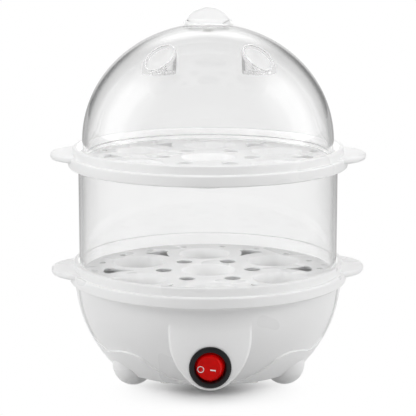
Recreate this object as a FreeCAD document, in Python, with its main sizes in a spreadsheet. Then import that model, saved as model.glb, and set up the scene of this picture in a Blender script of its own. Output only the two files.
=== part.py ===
# Two-tier electric egg cooker: a steam base with a round rocker switch, two egg trays,
# a clear ring between them and a clear domed lid. Millimetres, +Z up, the switch faces -Y,
# and the origin lies on the table under the middle of the base.
import FreeCAD
import Part
import Sketcher
import math
import os

Vector = FreeCAD.Vector

# ------------------------------------------------------------------------------------------
# Driving dimensions: alias, value in mm (or degrees, or a count), meaning.
# ------------------------------------------------------------------------------------------
DIMENSIONS = [
    # base housing
    ("bowl_rim_r", 77.0, "outer radius of the base at its rim"),
    ("bowl_rim_z", 56.0, "height of the rim above the table"),
    ("bowl_arc_r", 75.84, "radius of the bowl's profile"),
    ("bowl_centre_z", 59.2, "height of that arc's centre"),
    ("bowl_floor_z", 6.5, "underside of the bowl above the table"),
    ("bowl_wall", 1.6, "wall of the bowl inside the raised cradle"),
    ("bowl_floor", 2.2, "thickness of the bowl's floor"),
    ("relief", 1.0, "how far the cradle and wings stand proud of the belly"),
    ("wing_inset", 3.6, "inner edge of a side wing, in from the rim"),
    ("wing_lean", 7.4, "how far that edge leans in before it turns"),
    ("wing_bend_z", 26.6, "height where the wing's edge starts to turn"),
    ("wing_upper_r", 64.0, "radius of the wing's long edge"),
    ("wing_lower_r", 15.5, "radius where the wing's edge turns in"),
    ("cusp_in", 9.5, "from that place in to the cusp beside the hump over a foot"),
    ("cusp_z", 20.2, "height of the cusp"),
    ("hump_w", 20.5, "width of the hump over a foot, in from the cusp"),
    ("hump_z", 20.5, "height of the hump's inner end"),
    ("hump_r", 15.9, "radius of the hump"),
    ("sweep_w", 19.1, "from the hump's inner end to the cradle's lowest line"),
    ("sweep_z", 8.8, "height of the cradle's lowest line"),
    ("sweep_r", 57.6, "radius of the edge between the hump and that line"),
    ("foot_r", 11.6, "radius of a ball foot"),
    ("foot_flat_r", 3.0, "radius of the flat that a foot stands on"),
    ("foot_wall", 1.8, "wall of a hollow foot"),
    ("foot_out", 7.0, "foot centre from the hump's inner end, sideways"),
    ("foot_y", 28.3, "foot centre from the middle, front to back"),
    # switch panel
    ("tongue_swell", 2.39, "how far the switch panel stands out past its top edge"),
    ("tongue_top_z", 44.5, "height where the panel runs into the belly"),
    ("tongue_half_w", 22.6, "half the panel's greatest width"),
    ("tongue_wide_z", 39.0, "height of the greatest width"),
    ("tongue_side_r", 33.5, "radius of the panel's sides"),
    ("tongue_tip_r", 16.0, "radius of the panel's lower end"),
    ("tongue_wall", 2.0, "wall of the panel"),
    # rocker switch
    ("switch_z", 22.6, "height of the switch"),
    ("bezel_r", 11.5, "radius of the switch's bezel"),
    ("bezel_h", 2.0, "how far the bezel stands out"),
    ("bezel_lip", 1.2, "width of the bezel's sloping edge"),
    ("switch_body_r", 9.9, "radius of the switch's body"),
    ("switch_body_l", 16.0, "length of the body behind the bezel's seat"),
    ("rocker_r", 8.2, "radius of the rocker's round flank about its pivot"),
    ("rocker_face", 5.0, "rocker face in front of the pivot"),
    ("rocker_back", 2.4, "rocker's back behind the pivot"),
    ("rocker_throw", 22.0, "angle from off to on, degrees"),
    ("rocker_gap", 0.3, "gap round the rocker"),
    ("trunnion_r", 1.2, "radius of the rocker's trunnions"),
    ("trunnion_l", 0.9, "length of a trunnion in its seat"),
    ("trunnion_fit", 0.06, "radial clearance of a trunnion"),
    ("tab_w", 4.8, "width of a push-on tab"),
    ("tab_t", 0.8, "thickness of a push-on tab"),
    ("tab_l", 8.0, "length of a push-on tab"),
    ("tab_pitch", 5.5, "distance between the switch's tabs"),
    ("lamp_r", 1.7, "radius of the neon lamp"),
    ("lamp_l", 8.0, "length of the neon lamp"),
    # cord inlet
    ("inlet_z", 20.0, "height of the cord inlet"),
    ("inlet_out", 3.35, "how far the inlet's boss stands out of the bowl"),
    ("inlet_boss_r", 9.0, "radius of the inlet's boss"),
    ("inlet_hole_r", 5.6, "radius of the hole for the grommet"),
    ("inlet_wall", 3.0, "wall of the inlet's boss"),
    ("grommet_flange_r", 7.6, "radius of the grommet's flanges"),
    ("grommet_flange", 2.0, "thickness of a grommet flange"),
    ("grommet_nose", 7.0, "length of the grommet's nose"),
    ("cord_bore_r", 3.25, "radius of the grommet's bore"),
    # trays
    ("skirt_gap", 0.4, "gap between a tray's skirt and the rim inside it"),
    ("skirt_wall", 2.6, "wall of the skirt"),
    ("ledge_h", 6.3, "height of the skirt up to its ledge"),
    ("collar_step", 2.4, "how far the collar stands in from the skirt"),
    ("collar_wall", 3.0, "wall of the collar"),
    ("collar_h", 11.3, "height of the collar's top above the skirt's foot"),
    ("plate_h", 4.5, "height of the plate's top above the skirt's foot"),
    ("plate_t", 2.0, "thickness of the plate"),
    ("rib_wall", 1.5, "wall of the locating rib under the plate"),
    ("rib_h", 3.0, "height of the locating rib"),
    ("edge_round", 0.9, "rounding of the tray's outer edges"),
    ("egg_r", 15.4, "radius of an egg cup at the plate"),
    ("egg_pitch_r", 46.3, "radius of the circle of egg cups"),
    ("egg_count", 6, "egg cups round the middle one"),
    ("egg_lip", 0.8, "bevel round the top of an egg cup"),
    ("cup_wall", 1.6, "wall of an egg cup"),
    ("cup_h", 9.0, "depth of an egg cup below the plate's top"),
    ("cup_foot_r", 12.2, "inner radius of an egg cup at its open foot"),
    ("round_hole_r", 4.75, "radius of a round steam hole"),
    ("round_hole_pitch_r", 25.7, "radius of the circle of round holes"),
    ("arrow_tip_out", 2.9, "an arrow hole's tip, out from between the egg cups' centres"),
    ("arrow_web", 7.4, "plate left between an arrow hole and an egg cup"),
    ("arrow_wide_out", 16.9, "an arrow hole's widest place, out from there"),
    ("arrow_end_out", 19.6, "an arrow hole's outer corners, out from there"),
    ("arrow_end_half_w", 6.4, "half the width at those corners"),
    ("arrow_end_arc_r", 24.0, "radius of an arrow hole's outer end"),
    ("pin_hole_r", 2.1, "radius of a small drain hole"),
    ("pin_hole_pitch_r", 65.6, "distance of the small holes from the middle"),
    ("pin_hole_angle", 10.5, "angle of the small holes beside an egg cup, degrees"),
    ("ear_r", 26.3, "radius of a carrying ear"),
    ("ear_inset", 13.4, "centre of a carrying ear, in from the collar"),
    ("ear_root", 1.2, "how far an ear runs into the collar"),
    ("ear_z", 3.6, "underside of an ear above the skirt's foot"),
    ("ear_t", 4.0, "thickness of an ear"),
    ("ear_round", 1.6, "rounding of an ear's edge"),
    ("lower_turn", 1.9, "how far the lower tray is turned on the base, degrees"),
    ("upper_turn", -1.9, "how far the upper tray is turned, degrees"),
    # clear ring
    ("ring_gap", 0.3, "gap between the ring and a tray's collar"),
    ("ring_wall", 1.8, "wall of the clear ring"),
    ("ring_h", 64.2, "height of the clear ring"),
    ("rib_gap", 0.4, "gap between the ring and a tray's rib"),
    # lid
    ("dome_bead_w", 2.4, "how far the bead round the dome's foot stands out"),
    ("dome_straight", 9.7, "height of the dome's upright foot"),
    ("dome_rise", 66.4, "rise of the dome above that foot"),
    ("dome_wall", 2.0, "wall of the dome"),
    ("dome_bead_h", 2.6, "height of the bead round the dome's foot"),
    ("vent_pitch_r", 44.9, "distance of a steam vent from the middle"),
    ("vent_angle", 35.2, "angle of a steam vent from the front, degrees"),
    ("vent_mouth_r", 8.7, "radius of a steam vent at its top"),
    ("vent_floor_r", 7.6, "radius of a steam vent at its floor"),
    ("vent_wall", 1.4, "wall of a steam vent"),
    ("vent_floor_h", 52.4, "height of a vent's floor above the dome's foot"),
    ("vent_top", 24.0, "height of the cutter for a vent above its floor"),
    ("vent_hole_r", 1.5, "radius of a steam hole in a vent's floor"),
    ("vent_hole_pitch_r", 4.4, "distance of the steam holes from the vent's axis"),
    ("vent_hole_count", 5, "steam holes in a vent's floor"),
    ("knob_r", 15.0, "radius of the grip"),
    ("knob_rise", 10.1, "height of the grip above the dome's top"),
    ("knob_t", 6.4, "thickness of the grip"),
    ("knob_rim", 1.3, "width of the rim round the grip's flat face"),
    ("knob_recess", 0.6, "depth of the grip's flat face"),
    ("knob_band", 0.6, "height above the dome's top where the flat face starts"),
    ("mound_x", 12.2, "half length of the knob's oval foot"),
    ("mound_y", 8.6, "half width of the knob's oval foot"),
    ("mound_z", 2.6, "height of the knob's oval foot"),
    ("mound_drop", 0.9, "centre of that foot below the dome's top"),
    ("knob_screw_r", 1.5, "radius of the knob's screw"),
    ("knob_screw_l", 10.0, "length of the knob's screw"),
    ("screw_gap", 0.2, "gap round a screw that passes through a hole"),
    ("washer_r", 5.0, "radius of the washer under the knob's screw"),
    ("washer_t", 1.0, "thickness of that washer"),
    ("pan_head_r", 2.9, "radius of a screw's head"),
    ("pan_head_h", 1.8, "height of a screw's head"),
    # water basin
    ("basin_flange", 2.0, "thickness of the basin's flange"),
    ("basin_wall", 1.5, "wall of the basin"),
    ("basin_gap", 0.4, "gap between the tray's rib and the basin"),
    ("basin_lip_z", 52.6, "height where the basin's upright lip ends"),
    ("basin_floor_z", 37.5, "top of the basin's floor"),
    ("basin_floor_r", 50.0, "radius of the basin's floor"),
    ("basin_hole_r", 42.0, "radius of the hole for the heating plate"),
    ("basin_boss_r", 4.0, "radius of a boss under the basin"),
    ("basin_boss_x", 24.6, "boss from the middle, sideways"),
    ("basin_boss_y", 42.6, "boss from the middle, front to back"),
    ("basin_screw_r", 1.5, "radius of a screw that holds the basin"),
    ("basin_screw_l", 14.0, "length of a screw that holds the basin"),
    # heater
    ("gasket_w", 5.4, "width of the heating plate's gasket"),
    ("gasket_t", 1.2, "thickness of the gasket"),
    ("sheet_t", 0.8, "thickness of the heating plate"),
    ("dish_gap", 0.6, "gap between the plate's dish and the basin"),
    ("dish_slope", 1.2, "how far the dish's side leans in"),
    ("dish_depth", 1.9, "depth of the dish below the plate's flange"),
    ("element_r", 24.0, "radius of the heating element"),
    ("element_hole_r", 9.4, "radius of the element's hole"),
    ("element_h", 8.0, "height of the heating element"),
    ("stud_r", 2.0, "radius of a stud"),
    ("stud_pitch_r", 33.0, "distance of the studs from the middle"),
    ("stud_l", 14.0, "length of a stud"),
    ("stud_gap", 0.3, "gap round a stud"),
    ("nut_r", 4.0, "radius of a nut over its corners"),
    ("nut_h", 3.2, "height of a nut"),
    ("clamp_t", 1.2, "thickness of the clamp ring"),
    ("clamp_hole_r", 26.0, "inner radius of the clamp ring"),
    ("clamp_r", 44.6, "outer radius of the clamp ring"),
    ("strap_w", 11.0, "width of the strap under the element"),
    ("strap_t", 1.5, "thickness of the strap"),
    ("strap_end", 5.0, "strap beyond a stud's axis"),
    ("thermostat_r", 8.6, "radius of the thermostat"),
    ("thermostat_tab_y", 7.0, "thermostat tab from the middle"),
    ("element_tab_x", 14.0, "element tab from the middle, sideways"),
    ("element_tab_y", 9.5, "element tab from the middle, front to back"),
    ("fuse_r", 2.0, "radius of the thermal fuse"),
    ("fuse_l", 12.0, "length of the thermal fuse"),
    ("sleeve_wall", 0.7, "wall of the fuse's sleeve"),
    ("sleeve_l", 15.0, "length of the fuse's sleeve"),
    ("sleeve_gap", 0.1, "gap inside and outside the sleeve"),
    ("fuse_y", 16.5, "fuse from the middle"),
    ("fuse_drop", 3.1, "fuse axis below the element"),
    ("clip_t", 0.8, "thickness of the fuse's clip"),
    ("clip_l", 5.0, "length of the fuse's clip"),
    # bottom cover and wiring
    ("cover_r", 38.4, "radius of the bottom cover"),
    ("cover_t", 2.0, "thickness of the bottom cover"),
    ("cover_gap", 0.3, "gap round the bottom cover"),
    ("cover_ledge_w", 5.0, "width of the ledge above the bottom cover"),
    ("cover_ledge_t", 3.0, "thickness of that ledge"),
    ("cover_screw_pitch_r", 36.2, "distance of the cover's screws from the middle"),
    ("cover_screw_r", 1.2, "radius of a screw in the cover"),
    ("cover_screw_head_r", 2.3, "radius of its head"),
    ("cover_screw_head_h", 1.1, "height of its head"),
    ("cover_screw_l", 4.6, "length of a cover screw under its head"),
    ("cover_screw_count", 3, "screws in the bottom cover"),
    ("slot_l", 12.0, "length of an air slot in the cover"),
    ("slot_w", 2.0, "width of an air slot"),
    ("slot_pitch_r", 16.0, "distance of the air slots from the middle"),
    ("slot_count", 8, "air slots in the cover"),
    ("block_w", 26.0, "width of the terminal block"),
    ("block_d", 15.0, "depth of the terminal block"),
    ("block_h", 11.0, "height of the terminal block"),
    ("block_y", 14.0, "front of the terminal block"),
    ("block_pitch", 6.0, "distance between its entries"),
    ("block_hole_r", 1.8, "radius of an entry"),
    ("block_hole_l", 4.0, "depth of an entry"),
    ("block_screw_r", 1.7, "radius of a clamping screw"),
    ("saddle_w", 24.0, "width of the cord clamp"),
    ("saddle_d", 8.0, "depth of the cord clamp"),
    ("saddle_h", 9.0, "height of the cord clamp"),
    ("saddle_in", 22.0, "middle of the cord clamp, in from the inlet's boss"),
    ("saddle_screw_x", 8.5, "clamp screw from the middle"),
    ("saddle_screw_r", 1.4, "radius of a clamp screw"),
    ("lead_r", 1.1, "radius of an insulated lead"),
]


class Size:
    """A length with its number and the spreadsheet expression that gives it."""

    def __init__(self, number, text):
        self.number = float(number)
        self.text = text

    def __add__(self, other):
        other = size(other)
        return Size(self.number + other.number, f"({self.text} + {other.text})")

    def __radd__(self, other):
        return size(other) + self

    def __sub__(self, other):
        other = size(other)
        return Size(self.number - other.number, f"({self.text} - {other.text})")

    def __rsub__(self, other):
        return size(other) - self

    def __mul__(self, other):
        other = size(other)
        return Size(self.number * other.number, f"({self.text} * {other.text})")

    def __rmul__(self, other):
        return size(other) * self

    def __truediv__(self, other):
        other = size(other)
        return Size(self.number / other.number, f"({self.text} / {other.text})")

    def __rtruediv__(self, other):
        return size(other) / self

    def __neg__(self):
        return Size(-self.number, f"(0 - {self.text})")


def size(value):
    """A Size for a plain number or a Size."""
    if isinstance(value, Size):
        return value
    return Size(value, f"({value})" if value < 0 else str(value))


def root(value):
    """Square root of a Size."""
    return Size(math.sqrt(value.number), f"sqrt({value.text})")


def leg(hypotenuse, other):
    """The other leg of a right-angled triangle."""
    return root(hypotenuse * hypotenuse - other * other)


def sine(angle):
    """Sine of an angle in degrees."""
    angle = size(angle)
    return Size(math.sin(math.radians(angle.number)), f"sin({angle.text})")


def cosine(angle):
    """Cosine of an angle in degrees."""
    angle = size(angle)
    return Size(math.cos(math.radians(angle.number)), f"cos({angle.text})")


def at_angle(radius, angle):
    """The point at a radius and an angle in degrees from +X."""
    return radius * cosine(angle), radius * sine(angle)


doc = FreeCAD.newDocument("egg_cooker")
sheet = doc.addObject("Spreadsheet::Sheet", "sizes")
for row, (alias, number, meaning) in enumerate(DIMENSIONS, start=1):
    sheet.set(f"A{row}", meaning)
    sheet.set(f"B{row}", str(number))
    sheet.setAlias(f"B{row}", alias)
doc.recompute()


class Sizes:
    """Every driving dimension as an attribute."""


S = Sizes()
for alias, number, meaning in DIMENSIONS:
    setattr(S, alias, Size(sheet.get(alias), f"sizes.{alias}"))

parts = {}


# ------------------------------------------------------------------------------------------
# Small tools for the document
# ------------------------------------------------------------------------------------------
def bind(item, prop, value):
    """Bind a property to a Size, so that it follows the spreadsheet."""
    item.setExpression(prop, size(value).text)


def keep(name, item):
    """Name a finished sub-part."""
    item.Label = name
    parts[name] = item
    return item


def place(item, x=0, y=0, z=0, turn_axis=None, turn=0):
    """Put an object at a bound position, turned by an angle about an axis."""
    rotation = FreeCAD.Rotation(turn_axis, size(turn).number) if turn_axis else FreeCAD.Rotation()
    spot = Vector(size(x).number, size(y).number, size(z).number)
    item.Placement = FreeCAD.Placement(spot, rotation)
    for axis, value in zip("xyz", (x, y, z)):
        if isinstance(value, Size):
            bind(item, f"Placement.Base.{axis}", value)
    if isinstance(turn, Size):
        bind(item, "Placement.Rotation.Angle", turn)
    return item


ALONG_X = (Vector(0, 1, 0), 90)
ALONG_Y = (Vector(1, 0, 0), -90)
ALONG_Z = (None, 0)


def cylinder(name, radius, length, x=0, y=0, z=0, along=ALONG_Z):
    """A cylinder that starts at a point and runs along an axis."""
    item = doc.addObject("Part::Cylinder", name)
    bind(item, "Radius", radius)
    bind(item, "Height", length)
    return place(item, x, y, z, *along)


def cone(name, start_r, end_r, length, x=0, y=0, z=0, along=ALONG_Z):
    """A cone that starts at a point and runs along an axis."""
    item = doc.addObject("Part::Cone", name)
    bind(item, "Radius1", start_r)
    bind(item, "Radius2", end_r)
    bind(item, "Height", length)
    return place(item, x, y, z, *along)


def block(name, width, depth, height, x, y, z):
    """A box centred on x, with its front at y and its underside at z."""
    item = doc.addObject("Part::Box", name)
    bind(item, "Length", width)
    bind(item, "Width", depth)
    bind(item, "Height", height)
    return place(item, size(x) - size(width) / 2, y, z)


def sphere(name, radius, x, y, z):
    """A ball."""
    item = doc.addObject("Part::Sphere", name)
    bind(item, "Radius", radius)
    return place(item, x, y, z)


def ellipsoid(name, rise, half_x, half_y, z, upper_only=False):
    """An ellipsoid about the Z axis, whole or its upper half."""
    item = doc.addObject("Part::Ellipsoid", name)
    bind(item, "Radius1", rise)
    bind(item, "Radius2", half_x)
    bind(item, "Radius3", half_y)
    item.Angle1 = 0 if upper_only else -90
    item.Angle2 = 90
    return place(item, 0, 0, z)


def fuse(name, items):
    """One solid from several."""
    item = doc.addObject("Part::MultiFuse", name)
    item.Shapes = items
    item.Refine = True
    return item


def cut(name, base, tools):
    """A solid with one or more others taken out of it."""
    item = doc.addObject("Part::Cut", name)
    item.Base = base
    item.Tool = tools[0] if len(tools) == 1 else fuse(name + "_tools", tools)
    item.Refine = True
    return item


def common(name, items):
    """What several solids share."""
    item = doc.addObject("Part::MultiCommon", name)
    item.Shapes = items
    return item


def group(name, items):
    """Separate solids in one node."""
    item = doc.addObject("Part::Compound", name)
    item.Links = items
    return item


# ------------------------------------------------------------------------------------------
# Sketches and PartDesign features
# ------------------------------------------------------------------------------------------
def new_body(name):
    """An empty PartDesign body."""
    return doc.addObject("PartDesign::Body", name)


def sketch_on(body, role, name, offset=0):
    """A sketch on one of the body's own origin planes, moved along its normal."""
    sketch = body.newObject("Sketcher::SketchObject", name)
    plane = next(f for f in body.Origin.OriginFeatures if f.Role == role)
    sketch.AttachmentSupport = [(plane, "")]
    sketch.MapMode = "FlatFace"
    if isinstance(offset, Size):
        sketch.AttachmentOffset = FreeCAD.Placement(Vector(0, 0, offset.number), FreeCAD.Rotation())
        bind(sketch, "AttachmentOffset.Base.z", offset)
    return sketch


def fix_point(sketch, edge, end, x, y):
    """Hold one point of a sketch at bound coordinates."""
    for kind, value in (("DistanceX", size(x)), ("DistanceY", size(y))):
        index = sketch.addConstraint(Sketcher.Constraint(kind, -1, 1, edge, end, value.number))
        sketch.setExpression(f"Constraints[{index}]", value.text)


def arc_between(start, finish, radius):
    """The short arc between two points; a positive radius has its centre on the left."""
    chord = finish - start
    half = chord.Length / 2
    side = Vector(-chord.y, chord.x, 0).normalize()
    height = math.sqrt(max(radius * radius - half * half, 0))
    centre = start + chord * 0.5 + side * math.copysign(height, radius)
    first, last = (start, finish) if radius > 0 else (finish, start)
    angles = [math.atan2(p.y - centre.y, p.x - centre.x) for p in (first, last)]
    if angles[1] < angles[0]:
        angles[1] += 2 * math.pi
    circle = Part.Circle(centre, Vector(0, 0, 1), abs(radius))
    return Part.ArcOfCircle(circle, angles[0], angles[1])


def draw_outline(sketch, corners):
    """Draw a closed outline. Each corner is (x, y), or (x, y, radius, side) where the edge
    that ends there is an arc: side is +1 with its centre on the left of the way round, else -1."""
    spots = [Vector(size(c[0]).number, size(c[1]).number, 0) for c in corners]
    ends = []
    for index, corner in enumerate(corners):
        start, finish = spots[index - 1], spots[index]
        if len(corner) == 2:
            edge = sketch.addGeometry(Part.LineSegment(start, finish), False)
            ends.append((edge, 1, 2))
        else:
            radius, side = corner[2], corner[3]
            edge = sketch.addGeometry(arc_between(start, finish, side * radius.number), False)
            ends.append((edge, 1, 2) if side > 0 else (edge, 2, 1))
    for index, corner in enumerate(corners):
        edge, _, last = ends[index]
        following, first, _ = ends[(index + 1) % len(ends)]
        sketch.addConstraint(Sketcher.Constraint("Coincident", edge, last, following, first))
        fix_point(sketch, edge, last, corner[0], corner[1])
        if len(corner) == 4:
            bound = sketch.addConstraint(Sketcher.Constraint("Radius", edge, corner[2].number))
            sketch.setExpression(f"Constraints[{bound}]", corner[2].text)
    return sketch


def draw_circle(sketch, x, y, radius):
    """Draw a full circle at a bound place."""
    radius = size(radius)
    centre = Vector(size(x).number, size(y).number, 0)
    edge = sketch.addGeometry(Part.Circle(centre, Vector(0, 0, 1), radius.number), False)
    fix_point(sketch, edge, 3, x, y)
    index = sketch.addConstraint(Sketcher.Constraint("Radius", edge, radius.number))
    sketch.setExpression(f"Constraints[{index}]", radius.text)
    return sketch


def turned(name, corners):
    """A body turned about the Z axis from an outline of (radius, height) corners."""
    body = new_body(name)
    sketch = draw_outline(sketch_on(body, "XZ_Plane", name + "_profile"), corners)
    spin = body.newObject("PartDesign::Revolution", name + "_turned")
    spin.Profile = sketch
    spin.ReferenceAxis = (sketch, ["V_Axis"])
    spin.Angle = 360
    sketch.Visibility = False
    return body


def pad(body, sketch, name, length, midplane=False, reverse=False):
    """Add a prism on a sketch."""
    feature = body.newObject("PartDesign::Pad", name)
    feature.Profile = sketch
    bind(feature, "Length", length)
    feature.Midplane = midplane
    feature.Reversed = reverse
    return feature


def around(body, features, name, count):
    """Repeat features round the Z axis."""
    pattern = body.newObject("PartDesign::PolarPattern", name)
    pattern.Originals = features
    axis = next(f for f in body.Origin.OriginFeatures if f.Role == "Z_Axis")
    pattern.Axis = (axis, [""])
    pattern.Angle = 360
    bind(pattern, "Occurrences", count)
    body.Tip = pattern
    return pattern


def round_edges(body, base, name, radius, wanted):
    """Round the edges of a feature that a test picks."""
    doc.recompute()
    picked = [f"Edge{i}" for i, edge in enumerate(base.Shape.Edges, start=1) if wanted(edge)]
    if not picked:
        raise RuntimeError(f"{name} finds no edge to round")
    fillet = body.newObject("PartDesign::Fillet", name)
    fillet.Base = (base, picked)
    bind(fillet, "Radius", radius)
    body.Tip = fillet
    return fillet


def prism(name, corners, length, midplane=False):
    """A body padded from an outline in the upright XZ plane, towards the front."""
    body = new_body(name)
    sketch = draw_outline(sketch_on(body, "XZ_Plane", name + "_outline"), corners)
    pad(body, sketch, name + "_pad", length, midplane)
    return body


def is_rim(edge, radius, height):
    """Whether an edge is a circle about the Z axis with that radius and height."""
    curve = edge.Curve
    if not isinstance(curve, Part.Circle):
        return False
    on_axis = math.hypot(curve.Center.x, curve.Center.y) < 1e-6
    return on_axis and abs(curve.Radius - radius) < 1e-4 and abs(curve.Center.z - height) < 1e-4


# ------------------------------------------------------------------------------------------
# Places that more than one piece shares
# ------------------------------------------------------------------------------------------
arc_centre_r = S.bowl_rim_r - leg(S.bowl_arc_r, S.bowl_centre_z - S.bowl_rim_z)
seat_z = S.bowl_rim_z + S.basin_flange
lower_tray_z = seat_z - (S.plate_h - S.plate_t)
ring_z = lower_tray_z + S.plate_h
upper_tray_z = ring_z + S.ring_h - (S.plate_h - S.plate_t)
dome_z = upper_tray_z + S.plate_h
dome_centre_z = dome_z + S.dome_straight
dome_top_z = dome_centre_z + S.dome_rise
skirt_in_r = S.bowl_rim_r + S.skirt_gap
skirt_r = skirt_in_r + S.skirt_wall
collar_r = skirt_r - S.collar_step
collar_in_r = collar_r - S.collar_wall
ring_r = collar_in_r - S.ring_gap
rib_r = ring_r - S.ring_wall - S.rib_gap
dome_r = ring_r - S.dome_bead_w
ear_x = collar_r - S.ear_inset
wing_x = S.bowl_rim_r - S.wing_inset
wing_bend_x = wing_x - S.wing_lean
cusp_x = wing_bend_x - S.cusp_in
hump_x = cusp_x - S.hump_w
sweep_x = hump_x - S.sweep_w
foot_x = hump_x + S.foot_out
foot_z = leg(S.foot_r, S.foot_flat_r)
floor_top_z = S.bowl_floor_z + S.bowl_floor
inner_offset = S.relief + S.bowl_wall
cover_top_z = S.bowl_floor_z + S.cover_t
half_throw = S.rocker_throw / 2


def bowl_r(offset, height):
    """Radius of the bowl's surface at a height, moved in by an offset along its normal."""
    return arc_centre_r + leg(S.bowl_arc_r - offset, S.bowl_centre_z - height)


panel_top_r = bowl_r(S.relief, S.tongue_top_z)
panel_r = panel_top_r + S.tongue_swell
panel_seat_y = leg(panel_r, S.bezel_r)
pivot_y = panel_seat_y + S.bezel_h - S.rocker_face
inlet_y = bowl_r(0, S.inlet_z) + S.inlet_out
saddle_y = inlet_y - S.saddle_in


# ------------------------------------------------------------------------------------------
# Base housing
# ------------------------------------------------------------------------------------------
def bowl_solid(name, offset, bottom, top):
    """The bowl filled solid, with its surface moved in by an offset."""
    return turned(name, [
        (0, bottom),
        (bowl_r(offset, bottom), bottom),
        (bowl_r(offset, top), top, S.bowl_arc_r - offset, 1),
        (0, top),
    ])


def tongue_outline(inset):
    """Outline of the switch panel seen from the front, moved in by a wall."""
    side_r = S.tongue_side_r - inset
    tip_r = S.tongue_tip_r - inset
    half_w = S.tongue_half_w - inset
    offset_x = side_r - half_w
    tip_z = S.tongue_wide_z - leg(side_r - tip_r, offset_x)
    lean_x = offset_x / (side_r - tip_r)
    lean_z = (S.tongue_wide_z - tip_z) / (side_r - tip_r)
    joint_x = tip_r * lean_x
    joint_z = tip_z - tip_r * lean_z
    top_z = S.tongue_top_z - inset
    return [
        (-joint_x, joint_z, side_r, 1),
        (joint_x, joint_z, tip_r, 1),
        (half_w, S.tongue_wide_z, side_r, 1),
        (half_w, top_z),
        (-half_w, top_z),
        (-half_w, S.tongue_wide_z),
    ]


def tongue_solid(name, inset):
    """The switch panel filled solid: a barrel about the Z axis inside its outline."""
    rise = S.tongue_top_z - S.switch_z
    barrel_r = (rise * rise + S.tongue_swell * S.tongue_swell) / (2 * S.tongue_swell)
    low_z = S.bowl_floor_z
    low_r = panel_r - barrel_r + leg(barrel_r, S.switch_z - low_z)
    barrel = turned(name + "_barrel", [
        (0, low_z),
        (low_r - inset, low_z),
        (panel_r - inset, S.switch_z, barrel_r, 1),
        (panel_top_r - inset, S.tongue_top_z, barrel_r, 1),
        (0, S.tongue_top_z),
    ])
    outline = prism(name + "_prism", tongue_outline(inset), panel_r + S.bezel_r)
    return common(name, [barrel, outline])


def window_corners():
    """The recessed belly seen from the front: right half, then the left half back down."""
    above_z = S.bowl_rim_z + S.basin_flange
    return [
        (-sweep_x, S.sweep_z, S.sweep_r, -1),
        (sweep_x, S.sweep_z),
        (hump_x, S.hump_z, S.sweep_r, 1),
        (cusp_x, S.cusp_z, S.hump_r, -1),
        (wing_bend_x, S.wing_bend_z, S.wing_lower_r, 1),
        (wing_x, S.bowl_rim_z, S.wing_upper_r, 1),
        (wing_x, above_z),
        (-wing_x, above_z),
        (-wing_x, S.bowl_rim_z),
        (-wing_bend_x, S.wing_bend_z, S.wing_upper_r, 1),
        (-cusp_x, S.cusp_z, S.wing_lower_r, 1),
        (-hump_x, S.hump_z, S.hump_r, -1),
    ]


def four_places(x, y):
    """The four places that are mirror images of one."""
    return [(x, y), (-x, y), (-x, -y), (x, -y)]


def foot_balls(name, radius):
    """Four balls where the feet stand."""
    spots = four_places(foot_x, S.foot_y)
    return [sphere(f"{name}_{i}", radius, x, y, foot_z) for i, (x, y) in enumerate(spots)]


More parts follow.
